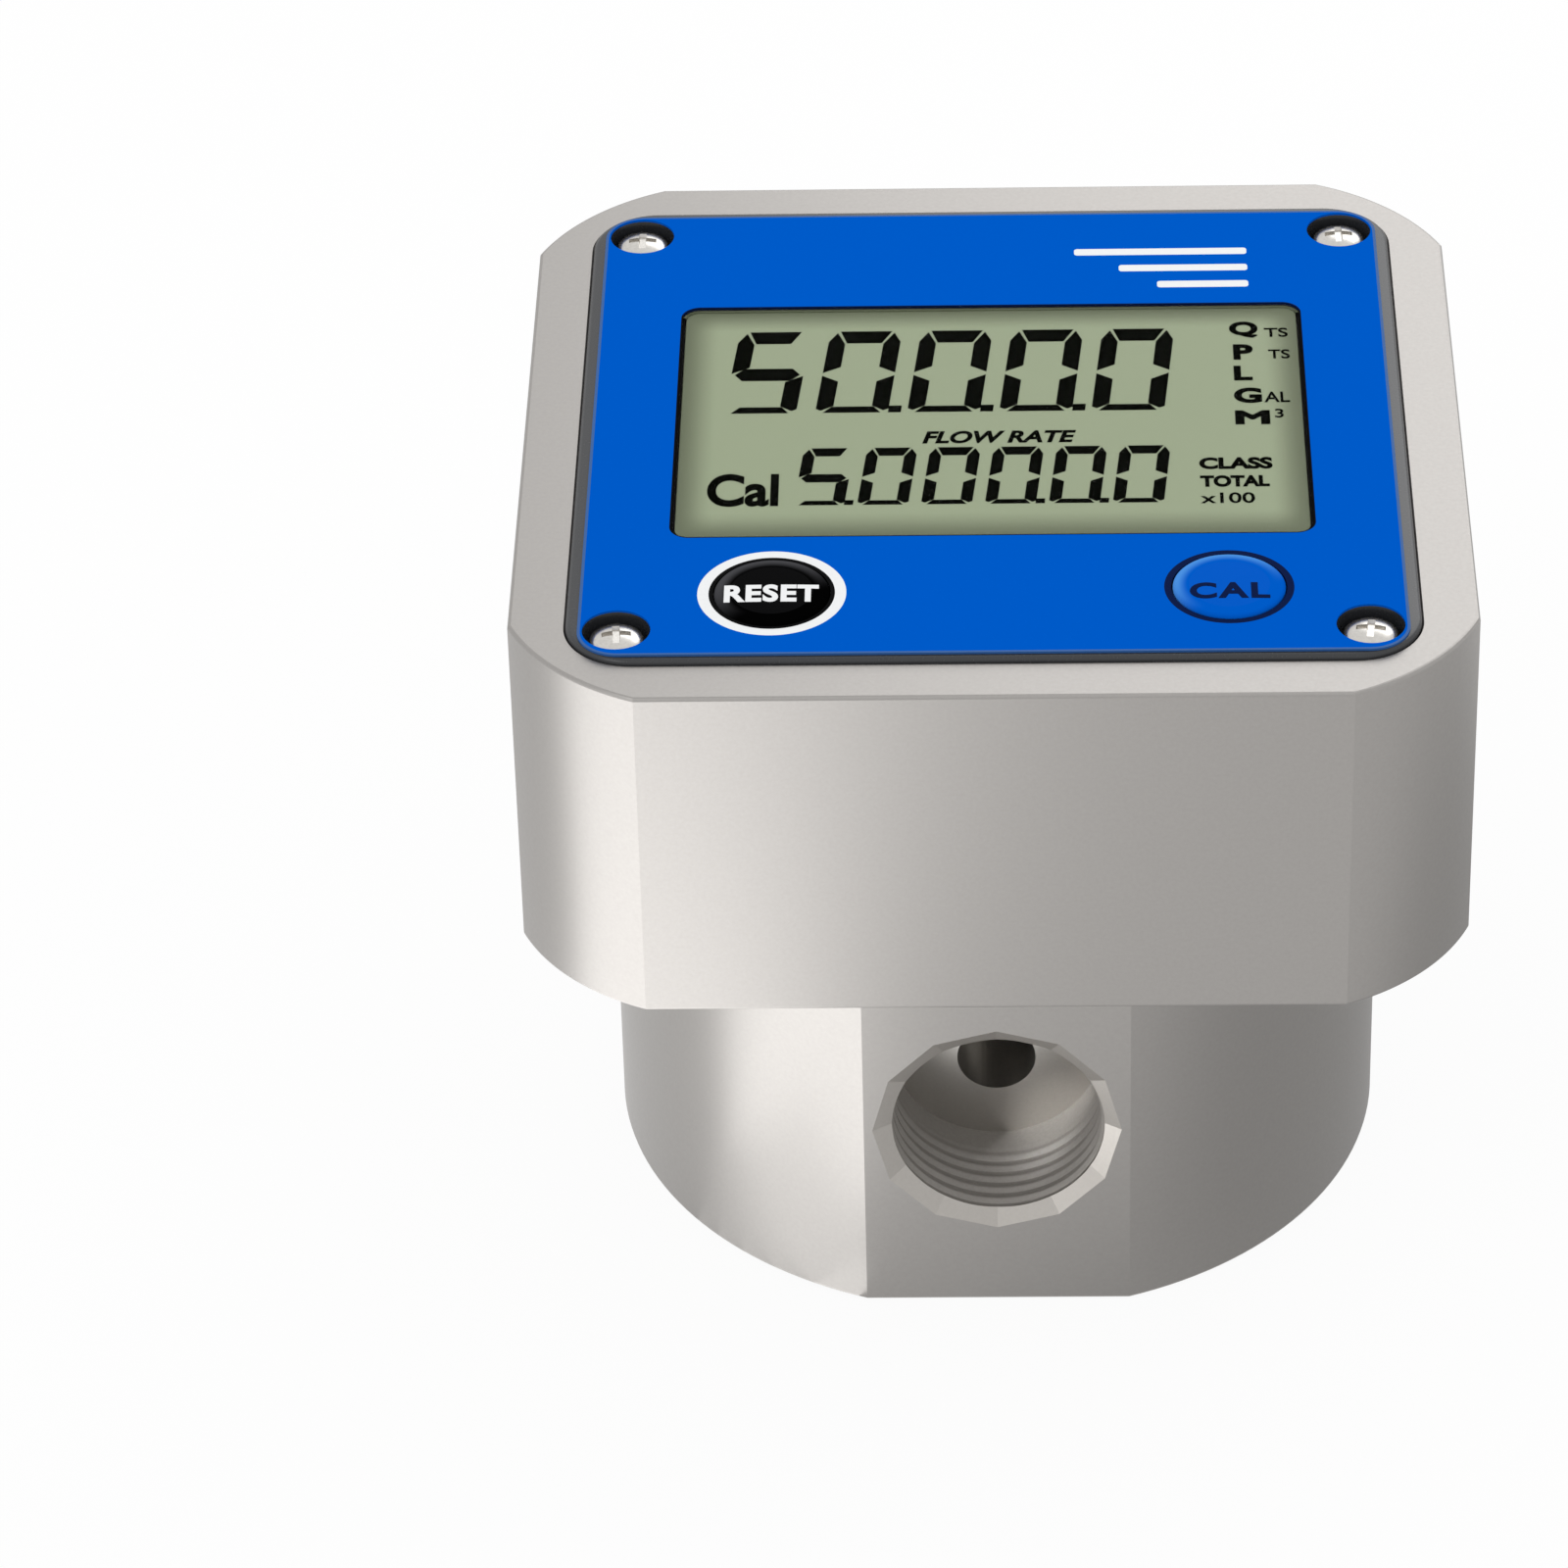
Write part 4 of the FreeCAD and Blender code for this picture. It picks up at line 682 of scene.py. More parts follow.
@dataclass
class FlowBlock:
    """Turned flow body with two flats, two tapped ports, the jet bore and the rotor chamber."""

    radius: float = 34.75
    flat: float = 32.7
    height: float = 39.2
    edge: float = 0.4
    arc_steps: int = 64
    port_height: float = 19.3
    mouth_radius: float = 11.0
    mouth_depth: float = 1.1
    mouth_sides: int = 12
    bore_radius: float = 9.25
    port_depth: float = 11.5
    floor_rise: float = 1.0
    floor_margin: float = 0.3
    wall_margin: float = 0.1
    flat_margin: float = 0.05
    thread_pitch: float = 1.5
    thread_depth: float = 0.27
    thread_start: float = 0.15
    thread_reach: float = 9.0
    thread_root: float = 0.42
    thread_flank: float = 0.3
    thread_samples: int = 16
    jet_radius: float = 3.5
    rotor_x: float = 8.5
    chamber: Profile = (
        (0.0, 10.3), (2.5, 10.3), (2.5, 13.8), (13.5, 13.8),
        (13.5, 36.2), (17.05, 36.2), (17.05, 40.0), (0.0, 40.0),
    )
    groove: tuple[float, float, float] = (30.0, 31.8, 37.8)
    tap_circle: float = 26.85
    tap_radius: float = 2.05
    tap_floor: float = 28.3
    tool_top: float = 40.0
    tool_overlap: float = 0.5

    def build(self) -> Object:
        """Turn the block and cut its ports, chamber, ring groove and tapped holes.

        Returns:
            The flow block. Its slots are the blasted outside, machined bores, cut mouths and reamed floors.
        """
        work = Workpiece()
        work.prism(flatted_plan(self.radius, self.flat), 0.0, self.height, self.arc_steps)
        work.soften([0.0], self.edge)
        block = work.to_object("flow_block", 10.0)
        tools = []
        for turn in (0.0, FULL_TURN / 2):
            tools += [self.mouth_tool(turn), self.thread_tool(turn)]
        carve(block, [*tools, self.jet_tool(), *self.top_tools()], 14.0)
        for face in block.data.polygons:
            x, y, z = face.center / MM
            away = math.hypot(x, z - self.port_height)
            inside = abs(y) < self.flat - self.mouth_depth
            if inside and away < self.bore_radius - self.floor_margin:
                face.material_index = 3
            elif inside and away < self.bore_radius + self.thread_depth + self.wall_margin:
                face.material_index = 1
            elif abs(y) < self.flat - self.flat_margin and away < self.mouth_radius:
                face.material_index = 2
        return block

    def port_place(self, turn: float) -> Matrix:
        """Give the matrix that lays a tool, deep along Z, into the port at a turn of the block."""
        lay = Matrix.Translation((0, -self.flat, self.port_height)) @ Matrix.Rotation(-QUARTER_TURN, 4, "X")
        return Matrix.Rotation(turn, 4, "Z") @ lay

    def mouth_tool(self, turn: float) -> Object:
        """Make the twelve-sided lead-in of a port.

        Args:
            turn: Turn of the port about the block's axis.

        Returns:
            Closed tool.
        """
        slope = (self.mouth_radius - self.bore_radius) / self.mouth_depth
        start = -self.tool_overlap
        end = self.mouth_depth + self.tool_overlap
        work = Workpiece()
        bmesh.ops.create_cone(
            work.mesh,
            cap_ends=True,
            segments=self.mouth_sides,
            radius1=self.mouth_radius - start * slope,
            radius2=self.mouth_radius - end * slope,
            depth=end - start,
            matrix=self.port_place(turn) @ Matrix.Translation((0, 0, (start + end) / 2)),
        )
        return work.to_object("port_mouth_tool")

    def wall_radius(self, depth: float, phase: float) -> float:
        """Give the radius of the threaded wall.

        Args:
            depth: Depth below the flat.
            phase: Place within one pitch, from zero to one.

        Returns:
            Radius of the wall there.
        """
        ramp = min(max((self.thread_root - abs(phase - 0.5)) / self.thread_flank, 0.0), 1.0)
        runout = min(max((self.thread_reach - depth) / self.thread_pitch, 0.0), 1.0)
        return self.bore_radius + self.thread_depth * ramp * runout

    def thread_tool(self, turn: float) -> Object:
        """Make the tapped bore along a helix, with a floor that rises to the jet.

        Args:
            turn: Turn of the port about the block's axis.

        Returns:
            Closed tool.
        """
        work = Workpiece()
        mesh = work.mesh
        pitch = self.thread_pitch
        start = self.thread_start
        samples = self.thread_samples
        count = samples * (math.ceil((self.port_depth - start) / pitch) + 2)
        line = [mesh.verts.new((1, 0, start + pitch * (at / samples - 1))) for at in range(count + 1)]
        edges = [mesh.edges.new(pair) for pair in zip(line, line[1:])]
        helix = {"cent": (0, 0, 0), "axis": (0, 0, 1), "dvec": (0, 0, pitch / ROUND_STEPS)}
        bmesh.ops.spin(mesh, geom=[*line, *edges], angle=FULL_TURN, steps=ROUND_STEPS, **helix)
        for vert in mesh.verts:
            angle = math.atan2(vert.co.y, vert.co.x) % FULL_TURN
            depth = min(max(vert.co.z, start), self.port_depth)
            phase = ((depth - start) / pitch - angle / FULL_TURN) % 1.0
            reach = self.wall_radius(depth, phase)
            vert.co = (reach * math.cos(angle), reach * math.sin(angle), depth)
        bmesh.ops.remove_doubles(mesh, verts=list(mesh.verts), dist=NEAR)
        bmesh.ops.dissolve_degenerate(mesh, edges=list(mesh.edges), dist=NEAR / 10)
        for level in (start, self.port_depth):
            rim = [edge for edge in mesh.edges if edge.is_boundary and lies_at(edge, level)]
            if level > start:
                rim = work.drop(rim, -self.floor_rise)
                narrow = (self.jet_radius - self.floor_margin) / self.bore_radius
                ring = list({vert for edge in rim for vert in edge.verts})
                bmesh.ops.scale(mesh, verts=ring, vec=(narrow, narrow, 1))
            bmesh.ops.contextual_create(mesh, geom=rim)
        bmesh.ops.transform(mesh, matrix=self.port_place(turn), verts=list(mesh.verts))
        return work.to_object("port_thread_tool")

    def jet_tool(self) -> Object:
        """Make the straight bore from port to port through the chamber.

        Returns:
            Closed tool.
        """
        work = Workpiece()
        reach = self.flat - self.port_depth + self.floor_rise + self.tool_overlap
        radius = self.jet_radius
        work.turned(((0.0, -reach), (radius, -reach), (radius, reach), (0.0, reach)), steps=48)
        lay = Matrix.Translation((0, 0, self.port_height)) @ Matrix.Rotation(-QUARTER_TURN, 4, "X")
        bmesh.ops.transform(work.mesh, matrix=lay, verts=list(work.mesh.verts))
        return work.to_object("jet_tool")

    def top_tools(self) -> list[Object]:
        """Make what is sunk from above: the rotor chamber, the ring groove and the four tapped holes.

        Returns:
            Closed tools.
        """
        top = self.tool_top
        inner, outer, floor = self.groove
        groove = ((inner, floor), (outer, floor), (outer, top), (inner, top), (inner, floor))
        radius = self.tap_radius
        tap = ((0.0, self.tap_floor), (radius, self.tap_floor), (radius, top), (0.0, top))
        cuts = [
            ("chamber_tool", self.chamber, self.rotor_x, 0.0, ROUND_STEPS),
            ("groove_tool", groove, 0.0, 0.0, ROUND_STEPS),
            *[("tap_tool", tap, x, y, 32) for x, y in head_screw_spots(self.tap_circle)],
        ]
        tools = []
        for name, profile, x, y, steps in cuts:
            work = Workpiece()
            work.turned(profile, x, y, steps)
            tools.append(work.to_object(name))
        return tools


@dataclass
class HeadShell:
    """Square head milled from one block: rim, rebate, ledge, pocket and the bores of its floor."""

    half: float = 41.0
    run: float = 30.0
    corner: float = 20.5
    bottom: float = 39.2
    top: float = 71.8
    edge: float = 0.3
    arc_steps: int = 32
    rebate_half: float = 36.12
    rebate_corner: float = 5.8
    rebate_edge: float = 0.12
    ledge: float = 67.45
    pocket_half: float = 33.0
    pocket_corner: float = 15.0
    floor: float = 46.2
    screw_circle: float = 26.85
    screw_radius: float = 3.8
    plate_screw: float = 31.7
    plate_tap: tuple[float, float] = (1.3, 60.4)
    sensor: tuple[float, float, float] = (8.5, 6.5, 3.3)

    def build(self) -> Object:
        """Raise the block, round its rims and sink the rebate, the pocket, the tapped holes and the bores.

        Returns:
            The head shell.
        """
        work = Workpiece()
        work.prism(creased_plan(self.half, self.run, self.corner), self.bottom, self.top, self.arc_steps)
        work.soften([self.bottom, self.top], self.edge)
        rim = work.open_face(self.top)
        lead = self.rebate_half + self.rebate_edge
        mouth = work.outline(rounded_plan(lead, lead, self.rebate_corner + self.rebate_edge), self.top)
        work.fill([*rim, *mouth])
        lip_plan = rounded_plan(self.rebate_half, self.rebate_half, self.rebate_corner)
        lip = work.outline(lip_plan, self.top - self.rebate_edge)
        work.bridge(mouth, lip)
        step = work.drop(lip, self.ledge - self.top + self.rebate_edge)
        pocket_plan = rounded_plan(self.pocket_half, self.pocket_half, self.pocket_corner)
        pocket = work.outline(pocket_plan, self.ledge)
        tap_radius, tap_floor = self.plate_tap
        for x, y in corner_spots(self.plate_screw):
            tap = work.ring(tap_radius, x, y, self.ledge, 24)
            step += tap
            bmesh.ops.contextual_create(work.mesh, geom=work.drop(tap, tap_floor - self.ledge))
        work.fill([*step, *pocket])
        floor = work.drop(pocket, self.floor - self.ledge)
        under = work.open_face(self.bottom)
        bores = [(x, y, self.screw_radius) for x, y in head_screw_spots(self.screw_circle)]
        for x, y, radius in [*bores, self.sensor]:
            upper = work.ring(radius, x, y, self.floor, 48)
            floor += upper
            under += work.drop(upper, self.bottom - self.floor)
        work.fill(floor)
        work.fill(under)
        return work.to_object("head_shell", 12.0)


@dataclass
class FacePanel:
    """Dark faceplate, its printed overlay and its four screws."""

    half: float = 36.07
    corner: float = 5.75
    bottom: float = 68.25
    top: float = 72.25
    edge: float = 0.4
    overlay: tuple[float, float, float] = (35.0, 35.25, 3.55)
    overlay_y: float = -0.2
    film_edge: float = 0.25
    overlay_top: float = 72.45
    window: tuple[float, float, float] = (27.6, 18.5, 1.6)
    window_y: float = 0.75
    window_line: float = 0.12
    pane_ledge: float = 0.25
    pane_seat: float = 72.15
    recess: tuple[float, float, float] = (28.7, 19.6, 0.2)
    lip: float = 71.75
    screw_place: float = 31.7
    counterbore: tuple[float, float] = (2.9, 70.35)
    screw_hole: float = 1.5
    reset: tuple[float, float, float] = (-18.7, -26.4, 5.0)
    reset_ring: float = 6.32
    reset_band: float = 5.36
    cal: tuple[float, float, float] = (20.0, -26.0, 4.9)
    cal_ring: float = 5.5
    rules: Profile = ((28.2, 7.6), (25.4, 11.6), (22.6, 15.0))
    rules_end: float = 23.2
    rule_half: float = 0.55
    rule_corner: float = 0.3
    head_radius: float = 2.3
    head_height: float = 1.8
    head_crown: float = 0.6
    brim: Profile = ((-0.06, -0.02), (0.0, -0.2))
    shank_radius: float = 1.25
    shank_end: float = 61.85
    tip: float = 0.4
    screw_turns: tuple[float, ...] = (4, 0, -6, 2)
    slit: tuple[float, float, float] = (2.8, 0.72, 0.66)
    slit_taper: tuple[float, float, float] = (0.8, 0.75, 1.0)
    slit_clear: float = 0.2

    def window_plan(self, wider: float = 0.0) -> Plan:
        """Give the plan of the window, or of one that is wider all round."""
        return rounded_plan(*[size + wider for size in self.window], 0, self.window_y)

    def window_back(self) -> float:
        """Give the line behind which only the window's back run lies."""
        return self.window_y + self.window[1] - 0.7 * self.window[2]

    def build_plate(self) -> Object:
        """Make the moulded plate with the pane's seat, the recess, button holes and counterbores.

        Returns:
            The faceplate, whose slots are the moulding, the blackened seat and the seat's lit back run.
        """
        work = Workpiece()
        work.prism(rounded_plan(self.half, self.half, self.corner), self.bottom, self.top)
        work.soften([self.top], self.edge, 4)
        upper = work.open_face(self.top)
        lower = work.open_face(self.bottom)
        opening = work.outline(self.window_plan(), self.top)
        upper += opening
        seat = work.drop(opening, self.pane_seat - self.top)
        aperture = work.outline(self.window_plan(-self.pane_ledge), self.pane_seat)
        work.bridge(seat, aperture, 1)
        # The seat's back run takes the crystal glass and so its painted edge shade.
        work.recolour(1, 2, self.window_back())
        lip = work.drop(aperture, self.lip - self.pane_seat)
        recess = work.outline(rounded_plan(*self.recess, 0, self.window_y), self.lip)
        work.fill([*lip, *recess])
        lower += work.drop(recess, self.bottom - self.lip)
        for x, y, radius in (self.reset, self.cal):
            hole = work.ring(radius, x, y, self.top, 64)
            upper += hole
            lower += work.drop(hole, self.bottom - self.top)
        radius, seat_level = self.counterbore
        for x, y in corner_spots(self.screw_place):
            mouth = work.ring(radius, x, y, self.top, 48)
            upper += mouth
            seat = work.drop(mouth, seat_level - self.top)
            hole = work.ring(self.screw_hole, x, y, seat_level, 48)
            work.fill([*seat, *hole])
            lower += work.drop(hole, self.bottom - seat_level)
        work.fill(upper)
        work.fill(lower)
        return work.to_object("face_plate", 30.0)

    def build_overlay(self) -> Object:
        """Make the printed film: blue field, two key rings and three plain white rules.

        Returns:
            The overlay, whose slots are blue, white, navy, black and the film's edge, a paler blue as
            painted highlight.
        """
        work = Workpiece()
        level = self.overlay_top
        edge = work.outline(rounded_plan(*self.overlay, 0, self.overlay_y), level)
        inner = [size - self.film_edge for size in self.overlay]
        field = work.outline(rounded_plan(*inner, 0, self.overlay_y), level)
        # The film's edge band takes the paler blue of the painted highlight.
        work.bridge(edge, field, 4)
        opening = work.outline(self.window_plan(), level)
        border = work.outline(self.window_plan(self.window_line), level)
        work.bridge(border, opening, 3)
        work.recolour(3, 2, self.window_back())
        white = work.ring(self.reset_ring, *self.reset[:2], level)
        black = work.ring(self.reset_band, *self.reset[:2], level)
        work.bridge(white, black, 1)
        navy = work.ring(self.cal_ring, *self.cal[:2], level)
        openings = [edge, opening]
        for outer, (x, y, radius), ink in ((black, self.reset, 3), (navy, self.cal, 2)):
            hole = work.ring(radius, x, y, level)
            work.bridge(outer, hole, ink)
            openings.append(hole)
        holes = [work.ring(self.counterbore[0], x, y, level, 48) for x, y in corner_spots(self.screw_place)]
        rims = [rim for loop in (*openings, *holes) for rim in work.drop(loop, self.top - level)]
        for y, left in self.rules:
            half = (self.rules_end - left) / 2
            plan = rounded_plan(half, self.rule_half, self.rule_corner, left + half, y)
            rule = work.outline(plan, level, 4)
            field += rule
            bmesh.ops.contextual_create(work.mesh, geom=rule)["faces"][0].material_index = 1
        work.fill([*field, *border, *white, *navy, *[line for hole in holes for line in hole]])
        work.fill(rims)
        return work.to_object("face_overlay", 30.0)

    def build_screws(self) -> Object:
        """Turn one pan-head screw, cut its cross recess and repeat it at the four corners.

        Returns:
            The four screws in one piece.
        """
        work = Workpiece()
        seat = self.counterbore[1]
        head, crown, shank, end = self.head_radius, self.head_crown, self.shank_radius, self.shank_end
        rim = seat + self.head_height - crown
        sphere = (head ** 2 + crown ** 2) / (2 * crown)
        radii = [head * at / 8 for at in range(8)]
        dome = [(radius, rim + crown - sphere + math.sqrt(sphere ** 2 - radius ** 2)) for radius in radii]
        side = [*[(head + out, rim + up) for out, up in self.brim], (head, seat)]
        stem = [(shank, seat), (shank, end + self.tip), (shank - self.tip, end), (0.0, end)]
        work.turned([*dome, *side, *stem], steps=48)
        screw = work.to_object("plate_screws", 30.0)
        carve(screw, [self.recess_tool(turn) for turn in (0.0, QUARTER_TURN)], 30.0)
        mesh = bmesh.new()
        for (x, y), turn in zip(corner_spots(self.screw_place), self.screw_turns):
            before = set(mesh.verts)
            mesh.from_mesh(screw.data)
            place = Matrix.Translation((x * MM, y * MM, 0)) @ Matrix.Rotation(math.radians(turn), 4, "Z")
            added = [vert for vert in mesh.verts if vert not in before]
            bmesh.ops.transform(mesh, matrix=place, verts=added)
        mesh.to_mesh(screw.data)
        mesh.free()
        return screw

    def recess_tool(self, turn: float) -> Object:
        """Make one tapered bar of the cross recess.

        Args:
            turn: Turn of the bar about the screw's axis.

        Returns:
            Closed tool.
        """
        work = Workpiece()
        top = self.counterbore[1] + self.head_height + self.slit_clear
        verts = bmesh.ops.create_cube(work.mesh, size=1.0)["verts"]
        foot = [vert for vert in verts if vert.co.z < 0]
        bmesh.ops.scale(work.mesh, verts=foot, vec=self.slit_taper)
        bmesh.ops.scale(work.mesh, verts=verts, vec=self.slit)
        place = Matrix.Rotation(turn, 4, "Z") @ Matrix.Translation((0, 0, top - self.slit[2] / 2))
        bmesh.ops.transform(work.mesh, matrix=place, verts=verts)
        return work.to_object("recess_tool")


@dataclass
class Button:
    """Domed push button with a retaining flange, a stem and its printed word."""

    name: str
    x: float
    y: float
    radius: float
    word: Word
    rim: float = 72.45
    crown: float = 0.34
    bow: float = 0.08
    edge: float = 0.5
    dome_steps: int = 10
    edge_steps: int = 8
    dish: float = 0.16
    underside: float = 68.25
    flange: float = 0.7
    flange_height: float = 1.0
    stem_radius: float = 1.5
    stem_end: float = 65.55
    print_depth: float = 0.05
    print_sink: float = 0.03

    def surface(self, radius: float) -> float:
        """Give the level of the dome.

        Args:
            radius: Distance from the button's axis.

        Returns:
            Level of its surface there.
        """
        inner = self.radius - self.edge
        top = self.rim + self.crown
        if radius <= inner:
            return top - self.bow * (radius / inner) ** 2
        slope = (radius - inner) / self.edge
        return top - self.bow - (self.crown - self.bow + self.dish) * (1 - math.sqrt(1 - slope ** 2))

    def build(self) -> Object:
        """Turn the button.

        Returns:
            The button, whose slots are its face and its rounded edge.
        """
        inner = self.radius - self.edge
        radii = [inner * at / self.dome_steps for at in range(self.dome_steps + 1)]
        turns = [at * QUARTER_TURN / self.edge_steps for at in range(1, self.edge_steps + 1)]
        radii += [inner + self.edge * math.sin(turn) for turn in turns]
        dome = [(radius, self.surface(radius)) for radius in radii]
        bottom = self.underside - self.flange_height
        wide = self.radius + self.flange
        flange = [(self.radius, self.underside), (wide, self.underside), (wide, bottom)]
        stem = [(self.stem_radius, bottom), (self.stem_radius, self.stem_end), (0.0, self.stem_end)]
        work = Workpiece()
        work.turned([*dome, *flange, *stem], self.x, self.y, 72)
        # Faces near the rim take the edge slot, which carries the painted highlight crescent.
        for face in work.mesh.faces:
            place = face.calc_center_median()
            if math.hypot(place.x - self.x, place.y - self.y) > inner - 2 * self.edge:
                face.material_index = 1
        return work.to_object(self.name, 40.0)

    def build_word(self) -> Object:
        """Print the word, bent to the dome.

        Returns:
            The word as a thin solid.
        """
        work = Workpiece()
        self.word.add_to(work.mesh, 0.0, self.print_depth)
        bmesh.ops.translate(work.mesh, verts=list(work.mesh.verts), vec=(self.x, self.y, 0))
        for vert in work.mesh.verts:
            vert.co.z += self.surface(math.hypot(vert.co.x - self.x, vert.co.y - self.y)) - self.print_sink
        return work.to_object(self.name + "_word", 30.0)


class Segment(Enum):
    """Bars of a seven-bar digit."""

    TOP = "a"
    UPPER_RIGHT = "b"
    LOWER_RIGHT = "c"
    BOTTOM = "d"
    LOWER_LEFT = "e"
    UPPER_LEFT = "f"
    MIDDLE = "g"


LIT_BARS = {"0": "abcdef", "5": "afgcd"}


@dataclass
class DigitRow:
    """A row of slanted seven-bar digits with points between them."""

    digits: str
    left: float
    bottom: float
    pitch: float
    width: float
    height: float
    bar: float
    post: float
    foot: float
    slant: float = 0.09
    gap: float = 0.16

    def bars(self) -> dict[Segment, Profile]:
        """Give the corners of each bar within one digit, before the slant.

        Returns:
            Corners of each bar, counter-clockwise.
        """
        w, h, bar, post, foot, gap = self.width, self.height, self.bar, self.post, self.foot, self.gap
        mid = h * 0.47
        half = bar / 2
        clear = gap * 1.5
        upper = (
            (0, mid + clear), (post, mid + half + clear), (post, h - bar - gap),
            (post * 0.45, h - clear), (0, h - bar * 0.9),
        )
        lower = (
            (0, foot * 0.5 + gap), (post * 0.3, foot * 0.2 + gap), (post, foot + gap),
            (post, mid - half - clear), (0, mid - clear),
        )
        middle = (
            (gap * 2, mid), (post * 0.7, mid - half), (w - post * 0.7, mid - half),
            (w - gap * 2, mid), (w - post * 0.7, mid + half), (post * 0.7, mid + half),
        )
        top = (
            (post * 0.5 + gap, h), (post * 1.1, h - bar),
            (w - post * 1.1, h - bar), (w - post * 0.5 - gap, h),
        )
        base = (
            (post * 0.35 + gap, 0), (w - post * 0.35 - gap, 0),
            (w - post * 0.9, foot), (post * 0.9, foot),
        )
        return {
            Segment.TOP: top,
            Segment.BOTTOM: base,
            Segment.MIDDLE: middle,
            Segment.UPPER_LEFT: upper,
            Segment.LOWER_LEFT: lower,
            Segment.UPPER_RIGHT: [(w - x, y) for x, y in reversed(upper)],
            Segment.LOWER_RIGHT: [(w - x, y) for x, y in reversed(lower)],
        }

    def add_to(self, mesh: BMesh, level: float, depth: float) -> None:
        """Add the row to a mesh as thin solids.

        Args:
            mesh: Mesh in millimetres.
            level: Level of the row's underside.
            depth: Thickness of the bars.
        """
        bars = self.bars()
        start = self.left
        dot = self.post * 0.75
        dot_top = self.foot * 1.1
        for sign in self.digits:
            if sign == ".":
                shift = start - (self.pitch - self.width) / 2 - dot * 0.75
                shapes = [((0, 0), (dot, 0), (dot, dot_top), (0, dot_top))]
            else:
                shift = start
                shapes = [bars[Segment(letter)] for letter in LIT_BARS[sign]]
                start += self.pitch
            for shape in shapes:
                spots = [(shift + x + self.slant * y, self.bottom + y, level) for x, y in shape]
                bar = mesh.faces.new([mesh.verts.new(spot) for spot in spots])
                raised = bmesh.ops.extrude_face_region(mesh, geom=[bar])
                moved = [part for part in raised["geom"] if isinstance(part, BMVert)]
                bmesh.ops.translate(mesh, verts=moved, vec=(0, 0, depth))


@dataclass
class Display:
    """What the liquid crystal shows: two rows of digits and the unit marks."""

    glass: float = 72.1
    lift: float = 0.005
    depth: float = 0.02
    bold: float = 0.048
    firm: float = 0.035
    medium: float = 0.03
    light: float = 0.015

    def rows(self) -> list[DigitRow]:
        """Give the large and the small row."""
        return [
            DigitRow("50.0.0.0", -23.58, 2.25, 8.09, 6.4, 13.35, 1.95, 1.5, 0.95),
            DigitRow("5.000.0.0", -17.15, -12.45, 5.51, 4.4, 8.95, 1.25, 1.05, 0.65, gap=0.12),
        ]

    def words(self) -> list[Word]:
        """Give the unit marks and the plain words of the display.

        Returns:
            The words, in their weights of print.
        """
        return [
            Word("FLOW RATE", -6.05, -2.87, 7.4, -0.9, self.firm, 0.25),
            Word("Cal", -24.65, -12.6, -18.45, -7.45, self.medium),
            Word("Q", 21.25, 13.95, 23.8, 16.65, self.bold),
            Word("TS", 24.35, 14.05, 26.45, 15.55, self.light),
            Word("P", 21.5, 10.3, 23.25, 12.85, self.bold),
            Word("TS", 24.6, 10.45, 26.5, 11.95, self.light),
            Word("L", 21.45, 6.9, 23.1, 9.3, self.bold),
            Word("G", 21.35, 3.2, 23.8, 5.7, self.bold),
            Word("AL", 24.0, 3.3, 26.25, 5.0, self.light),
            Word("M", 21.35, -0.25, 24.4, 2.0, self.bold),
            Word("3", 24.85, 0.8, 25.6, 2.2, self.light),
            Word("CLASS", 18.0, -7.35, 24.35, -5.5, self.bold),
            Word("TOTAL", 18.0, -10.15, 24.0, -8.35, self.bold),
            Word("x100", 18.0, -12.7, 22.65, -11.05, self.light),
        ]

    def build(self) -> list[Object]:
        """Lay the digits and the words on the front glass.

        Returns:
            The digits and the words.
        """
        shown = []
        for name, prints in (("display_digits", self.rows()), ("display_words", self.words())):
            work = Workpiece()
            for each in prints:
                each.add_to(work.mesh, self.glass + self.lift, self.depth)
            shown.append(work.to_object(name, 30.0))
        return shown


